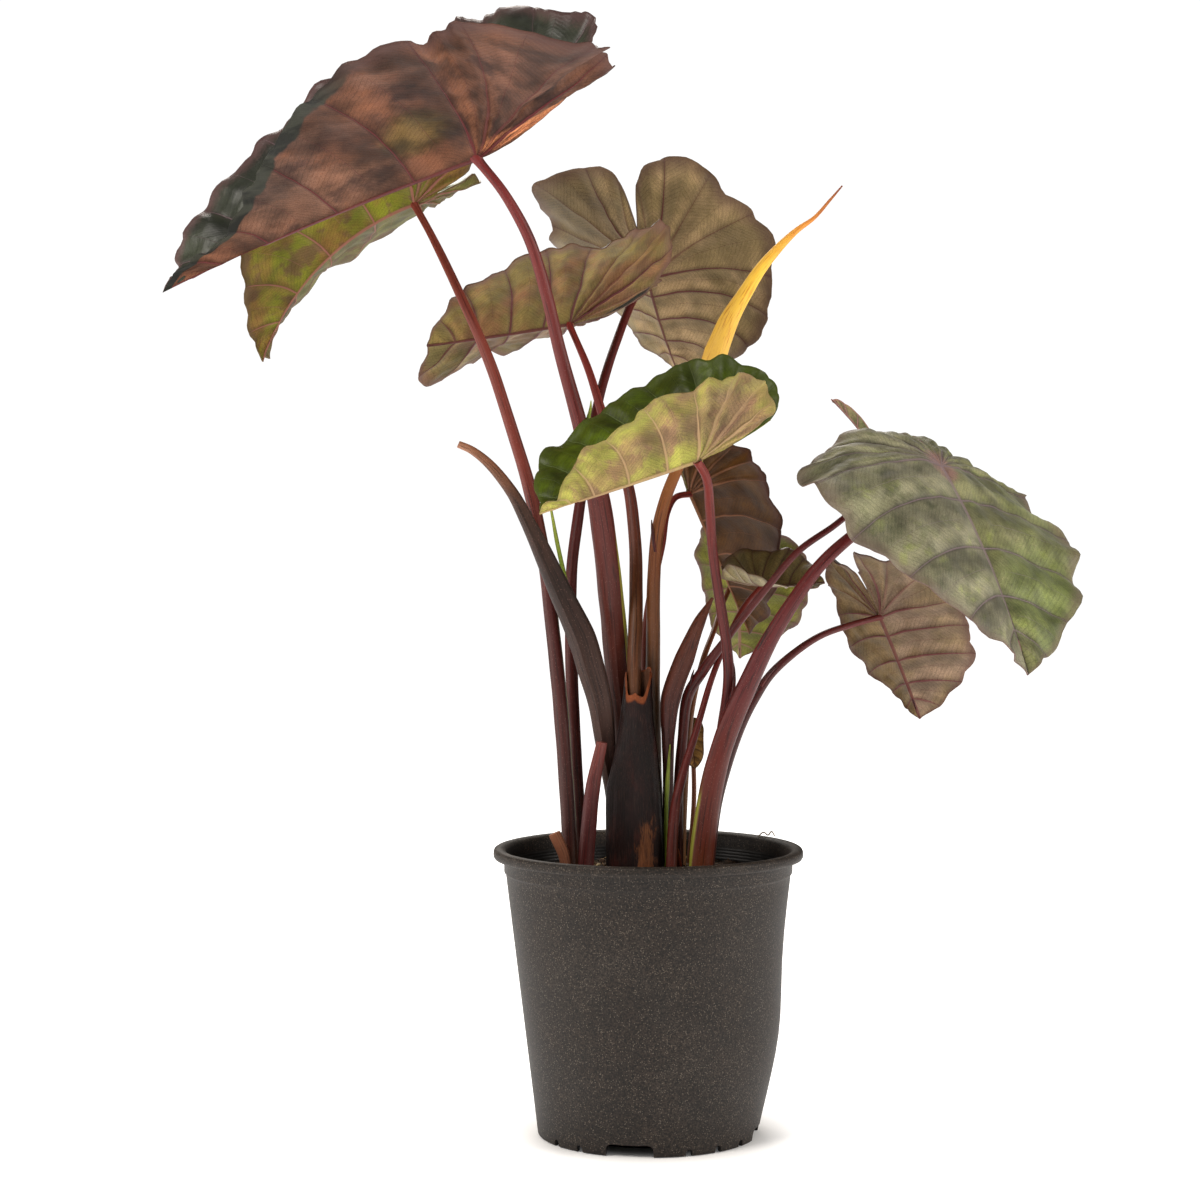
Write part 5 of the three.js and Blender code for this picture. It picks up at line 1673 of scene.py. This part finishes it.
# %% Skin of a stalk
def stem_skin(name, stops, streak=(40, 20, 18), fleck=(200, 150, 140), rough=0.36, side=None):
    bench = Bench(name)
    along = bench.number("along")
    grain = bench.vector("grain")
    long_lines = bench.speckle(bench.stretched(grain, (0.9, 0.9, 0.018)), 1.0, 4, 0.65)
    fine_lines = bench.speckle(bench.stretched(grain, (2.6, 2.6, 0.05)), 1.0, 3, 0.6)
    cloud = bench.speckle(bench.stretched(grain, (0.12, 0.12, 0.03)), 1.0, 3, 0.6)
    shifted = bench.pushed(along, cloud, 0.16)
    colour = bench.stops(shifted, [(place, tint(*shade)) for place, shade in stops])
    if side is not None:
        middle, spread, low, high, shade = side
        near = bench.node("VectorMath", operation="DOT_PRODUCT")
        bench.feed(near.inputs[0], bench.vector("around"))
        turn = 2 * math.pi * middle
        near.inputs[1].default_value = (math.cos(turn), math.sin(turn), 0)
        wide = math.cos(2 * math.pi * spread)
        share = bench.span(near.outputs["Value"], wide, 0.5 + 0.5 * wide)
        share = bench.times(share, bench.span(shifted, low, low + 0.06))
        share = bench.times(share, bench.span(shifted, high - 0.08, high, 1.0, 0.0))
        colour = bench.blend(share, colour, tint(*shade))
    dark = bench.blend(1.0, colour, tint(*streak), "MULTIPLY")
    colour = bench.blend(bench.span(long_lines, 0.5, 0.66, 0.0, 0.7), colour, dark)
    pale = bench.blend(0.6, colour, tint(*fleck), "SOFT_LIGHT")
    colour = bench.blend(bench.span(fine_lines, 0.5, 0.68, 0.0, 0.8), colour, pale)
    dots = bench.cells(bench.stretched(grain, (1.1, 1.1, 0.35)), 1.0)
    dots = bench.span(dots, 0.08, 0.2, 1.0, 0.0)
    colour = bench.blend(bench.times(dots, 0.22), colour, tint(*fleck))
    height = bench.scaled(fine_lines, 0.5, long_lines)
    shine = bench.scaled(cloud, 0.16, rough)
    return bench.finish(colour, shine, bench.relief(height, 0.22, 0.6), specular=0.3)


STEM_STOPS = {
    "stalk_1": [(0, (52, 22, 16)), (0.3, (78, 34, 22)), (0.62, (92, 31, 27)), (1, (116, 38, 36))],
    "stalk_2": [
        (0, (70, 50, 24)),
        (0.13, (62, 25, 19)),
        (0.4, (66, 23, 20)),
        (0.6, (110, 48, 38)),
        (1, (138, 66, 54)),
    ],
    "stalk_3": [(0, (88, 56, 34)), (0.3, (96, 58, 36)), (0.62, (98, 36, 28)), (1, (126, 40, 34))],
    "stalk_4": [(0, (70, 40, 21)), (0.2, (73, 27, 22)), (0.6, (76, 22, 21)), (1, (86, 24, 24))],
    "stalk_5": [(0, (73, 37, 24)), (0.35, (89, 29, 25)), (0.7, (92, 27, 25)), (1, (116, 40, 33))],
    "stalk_6": [(0, (80, 42, 24)), (0.5, (95, 40, 25)), (1, (116, 42, 33))],
    "stalk_7": [(0, (76, 35, 24)), (0.4, (86, 28, 24)), (1, (116, 37, 31))],
    "stalk_8": [(0, (61, 27, 21)), (0.4, (59, 23, 21)), (1, (91, 29, 28))],
    "stalk_9": [(0, (86, 53, 21)), (0.18, (92, 37, 24)), (0.5, (86, 23, 24)), (1, (100, 29, 30))],
    "stalk_10": [(0, (91, 63, 25)), (0.5, (100, 58, 30)), (1, (112, 51, 33))],
    "stalk_11": [(0, (116, 68, 36)), (1, (100, 51, 27))],
    "stalk_12": [(0, (73, 38, 22)), (0.4, (86, 28, 24)), (1, (95, 31, 33))],
    "spathe_stalk": [
        (0, (56, 46, 25)),
        (0.35, (74, 54, 30)),
        (0.7, (122, 70, 38)),
        (1, (160, 102, 48)),
    ],
    "spathe": [
        (0, (176, 120, 60)),
        (0.1, (222, 176, 78)),
        (0.5, (240, 192, 66)),
        (0.8, (206, 132, 56)),
        (1, (110, 50, 40)),
    ],
    "rolled_leaf": [(0, (53, 24, 19)), (0.6, (70, 30, 24)), (1, (100, 51, 30))],
    "stump_1": [
        (0, (36, 22, 18)),
        (0.4, (64, 42, 34)),
        (0.68, (38, 24, 19)),
        (0.84, (58, 37, 27)),
        (0.96, (124, 82, 58)),
        (1, (150, 106, 82)),
    ],
    "stump_2": [(0, (58, 22, 19)), (0.7, (76, 22, 22)), (1, (112, 54, 47))],
    "stump_3": [(0, (80, 50, 33)), (0.6, (104, 62, 42)), (1, (142, 92, 66))],
}
STEM_EXTRAS = {
    "stalk_1": {"side": (0.24, 0.075, 0.0, 0.52, (164, 160, 62))},
    "stalk_2": {"side": (0.27, 0.07, 0.1, 0.5, (128, 132, 56))},
    "stalk_9": {"side": (0.75, 0.12, 0.0, 0.3, (140, 140, 52))},
    "spathe": {"streak": (200, 130, 70), "fleck": (255, 226, 150), "rough": 0.45},
    "stump_1": {"streak": (70, 46, 40), "rough": 0.5},
    "stump_3": {"rough": 0.7},
}
for stem_name, stem in STEMS.items():
    extras = STEM_EXTRAS.get(stem_name, {})
    skin = stem_skin(f"{stem_name}_skin_paint", STEM_STOPS[stem_name], **extras)
    stem.data.materials.append(skin)
    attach(stem, "root")
    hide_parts(stem_name)
    if stem_name == "spathe":
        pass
    elif stem_name.startswith("stump"):
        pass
    else:
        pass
print("stem skins:", len(STEMS))

# %% [markdown]
# A stalk is wrapped by its sheath low down, and the sheath ends in a small pointed ear. Two green
# slivers of young sheath, a red shoot and a stiff bit of dry root are as small. All of them are
# short stems of the same kind, with few stations.

# %% Ears, slivers, the shoot and the root
EAR = [(0, (92, 34, 30)), (1, (54, 24, 20))]
GREEN = [(0, (120, 110, 44)), (0.5, (126, 150, 50)), (1, (150, 160, 70))]
SHOOT = [(0, (120, 60, 40)), (0.6, (140, 44, 36)), (1, (170, 90, 60))]
THREAD = [(0, (176, 164, 140)), (1, (206, 196, 176))]
SMALL_STEMS = {
    "ear_1": (
        GREEN,
        [
            (-47, -14, 522, 1.8), (-44.8, -14, 532, 1.6),
            (-43, -14.5, 540, 1.1), (-42.6, -15, 546, 0.4),
        ],
    ),
    "ear_5": (
        EAR,
        [
            (62.5, -10, 328, 1.5), (63.4, -10.5, 339, 1.4),
            (63.4, -10.8, 347, 0.9), (63, -11, 352, 0.3),
        ],
    ),
    "ear_8": (
        EAR,
        [(84, 1, 334, 1.3), (89, 1.5, 341.5, 1.2), (93.5, 2, 346.5, 0.8), (96.5, 2.5, 348.5, 0.3)],
    ),
    "ear_9": (
        EAR,
        [(77, -30, 356, 1.8), (82, -34, 367, 1.7), (86, -36, 376, 1.1), (88.5, -36.5, 382, 0.35)],
    ),
    "ear_12": (
        EAR,
        [(31, 15, 324, 1.5), (32, 13.5, 333, 1.3), (33, 12, 341, 0.9), (34.5, 11.5, 346, 0.3)],
    ),
    "ear_spathe": (
        EAR,
        [(5.4, 18, 434, 1.6), (3.8, 17, 446, 1.4), (3, 16.8, 453, 0.9), (2.6, 17, 458, 0.35)],
    ),
    "sliver_1": (
        GREEN,
        [
            (-50, 0, 368, 1.2), (-56, 8, 390, 1.4), (-63.5, 12, 420, 1.7),
            (-68.5, 13, 443, 1.6), (-72.3, 13, 464, 1), (-74, 13, 472, 0.3),
        ],
    ),
    "sliver_2": (
        GREEN,
        [(13, 5, 150, 1.3), (13, 5, 215, 1.5), (14.5, 5, 262, 1.8), (16.4, 5.6, 290, 0.4)],
    ),
    "red_shoot": (
        SHOOT,
        [(23.6, -3, 180, 1.8), (23.4, -3, 198, 2), (23, -3.3, 207, 1.3), (22.4, -3.4, 213, 0.3)],
    ),
    "root_thread": (
        THREAD,
        [
            (86, 66, 213.6, 0.5), (90, 64.5, 217, 0.55), (93.5, 64, 214.8, 0.5),
            (96, 62, 218, 0.55), (98.5, 60, 214.6, 0.4),
        ],
    ),
}
for seed, (small_name, (stops, stations)) in enumerate(SMALL_STEMS.items()):
    rows = row_count(stations, spacing=2, spare=6)
    small = make_stem(small_name, stations, rows, 70 + seed * 1.7)
    small.data.materials.append(stem_skin(f"{small_name}_skin_paint", stops))
    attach(small, "root")
print("small stems:", len(SMALL_STEMS))

# %% [markdown]
# In the middle stands a tube of old leaf sheaths, dark, fibrous and torn open at the top, and a
# younger stalk rises out of it. It is a rolled grid again. Its rows go up the outside, over the
# torn lip and down the inside of the mouth, so the wall has a real thickness at the tear.

# %% Sheath trunk
TRUNK_FOOT = 150
TRUNK = [
    (TRUNK_FOOT, -10, 19, 15),
    (203, -9.6, 22, 17),
    (257, -10.6, 20.6, 16),
    (281, -9, 16.8, 13.6),
    (307, -9, 12.9, 11.6),
    (330, -8, 10.8, 10.6),
    (344, -7.7, 10.4, 10.4),
]
MOUTH_FRONT = 328
MOUTH_BACK = 346
MOUTH_MIDDLE = -8.3
MOUTH_RADIUS = 8.8
MOUTH_SLACK = 0.5
MOUTH_NARROWS = 3.0
MOUTH_FLOOR = 318
SKIN_ROOM = 0.6
OUTER_ROWS = 90
INNER_ROWS = 14
TRUNK_SIDES = 72

trunk = new_grid("sheath_trunk_skin", TRUNK_SIDES, OUTER_ROWS + INNER_ROWS)
net = points_of(trunk)
row = np.rint((net[:, 1] + 1) / 2 * (OUTER_ROWS + INNER_ROWS)).astype(int)
angle = np.pi * (net[:, 0] + 1)
away = np.sin(angle)
rim = MOUTH_FRONT + (MOUTH_BACK - MOUTH_FRONT) * smooth_share(-0.95, 0.15, away)
rim += 1.6 * np.cos(angle) * np.abs(np.cos(angle)) - 1.2 * np.cos(5 * angle)
torn = np.array([noise.noise(Vector((3 * math.cos(a), 3 * math.sin(a), 2))) for a in angle])
rim += 2.2 * torn
outside = row <= OUTER_ROWS
share = np.clip(row / OUTER_ROWS, 0, 1)
z = TRUNK_FOOT + (rim - TRUNK_FOOT) * share
levels, *columns = np.array(TRUNK, dtype=float).T
centre, wide, deep = (np.interp(z, levels, column) for column in columns)
rough_wall = np.array(
    [
        noise.noise(Vector((2.2 * math.cos(a), 2.2 * math.sin(a), h / 60)))
        + 0.5 * noise.noise(Vector((7 * math.cos(a), 7 * math.sin(a), h / 90)))
        for a, h in zip(angle, z)
    ]
)
wrap = 0.8 * smooth_share(0.0, 0.5, np.sin(angle / 2 + 0.9 + (z - 200) / 240))
torn_back = smooth_share(6, 0.5, rim - z)
wide = wide + rough_wall * 0.8 + wrap - SKIN_ROOM - torn_back
deep = deep + rough_wall * 0.8 + wrap - SKIN_ROOM - torn_back
x = centre + np.cos(angle) * wide
y = np.sin(angle) * deep
depth = np.clip((row - OUTER_ROWS) / INNER_ROWS, 0, 1)
mouth = MOUTH_RADIUS + MOUTH_SLACK - MOUTH_NARROWS * depth
x = np.where(outside, x, MOUTH_MIDDLE + np.cos(angle) * mouth)
y = np.where(outside, y, np.sin(angle) * mouth)
z = np.where(outside, z, rim + (MOUTH_FLOOR - rim) * depth)
along = np.where(outside, (z - TRUNK_FOOT) / 200, 1.2)
write_numbers(trunk, along=along, torn=np.where(outside, rim - z, 0))
write_vectors(trunk, grain=np.column_stack([x, y, z]))
move_points(trunk, np.column_stack([x, y, z]))
close_tube(trunk)
print("trunk faces:", len(trunk.data.polygons))

# %% [markdown]
# Old sheath is nearly black, with long fibres and paler hairs. Its torn lip and a frayed patch low
# in front show the orange-brown inside of the tissue. The patch is a box in real sizes whose edges
# are pushed about by a noise, so that it looks torn and not cut.

# %% Skin of the old sheath
bench = Bench("old_sheath_skin")
grain = bench.vector("grain")
fibres = bench.speckle(bench.stretched(grain, (0.8, 0.8, 0.014)), 1.0, 5, 0.7)
hairs = bench.speckle(bench.stretched(grain, (3.2, 3.2, 0.05)), 1.0, 3, 0.6)
cloud = bench.speckle(bench.stretched(grain, (0.07, 0.07, 0.03)), 1.0, 3, 0.6)
sheath = bench.stops(
    cloud, [(0.35, tint(13, 5, 5)), (0.55, tint(28, 10, 9)), (0.72, tint(58, 25, 19))]
)
sheath = bench.blend(bench.span(fibres, 0.48, 0.66, 0.0, 0.6), sheath, tint(13, 8, 9))
sheath = bench.blend(bench.span(hairs, 0.55, 0.72, 0.0, 0.3), sheath, tint(104, 70, 56))
east, north, up = bench.parts(grain)
shreds = bench.speckle(bench.stretched(grain, (0.35, 0.35, 0.09)), 1.0, 5, 0.7)
torn_up = bench.pushed(up, shreds, 70.0)
torn_out = bench.pushed(east, shreds, 26.0)
patch = bench.span(torn_up, 222.0, 236.0, 1.0, 0.0)
patch = bench.times(patch, bench.span(torn_out, -9.0, -5.0))
patch = bench.times(patch, bench.span(torn_out, 1.0, 5.0, 1.0, 0.0))
patch = bench.times(patch, bench.span(north, -4.0, 0.0, 1.0, 0.0))
patch = bench.times(patch, bench.span(hairs, 0.35, 0.6, 0.2, 0.9))
sheath = bench.blend(patch, sheath, tint(122, 74, 44))
lip = bench.span(bench.number("torn"), 3.6, 6.4, 1.0, 0.0)
lip = bench.times(lip, bench.span(hairs, 0.3, 0.6, 0.7, 1.0))
sheath = bench.blend(lip, sheath, tint(132, 68, 36))
inner = bench.span(bench.number("along"), 1.05, 1.15)
sheath = bench.blend(inner, sheath, tint(92, 60, 44))
height = bench.scaled(hairs, 0.4, fibres)
sheath_paint = bench.finish(
    sheath,
    bench.scaled(fibres, 0.3, 0.32),
    bench.relief(height, 0.9, 0.9),
    specular=0.2,
)
trunk.data.materials.append(sheath_paint)
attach(trunk, "root")
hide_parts("sheath_trunk")
print("trunk finished")
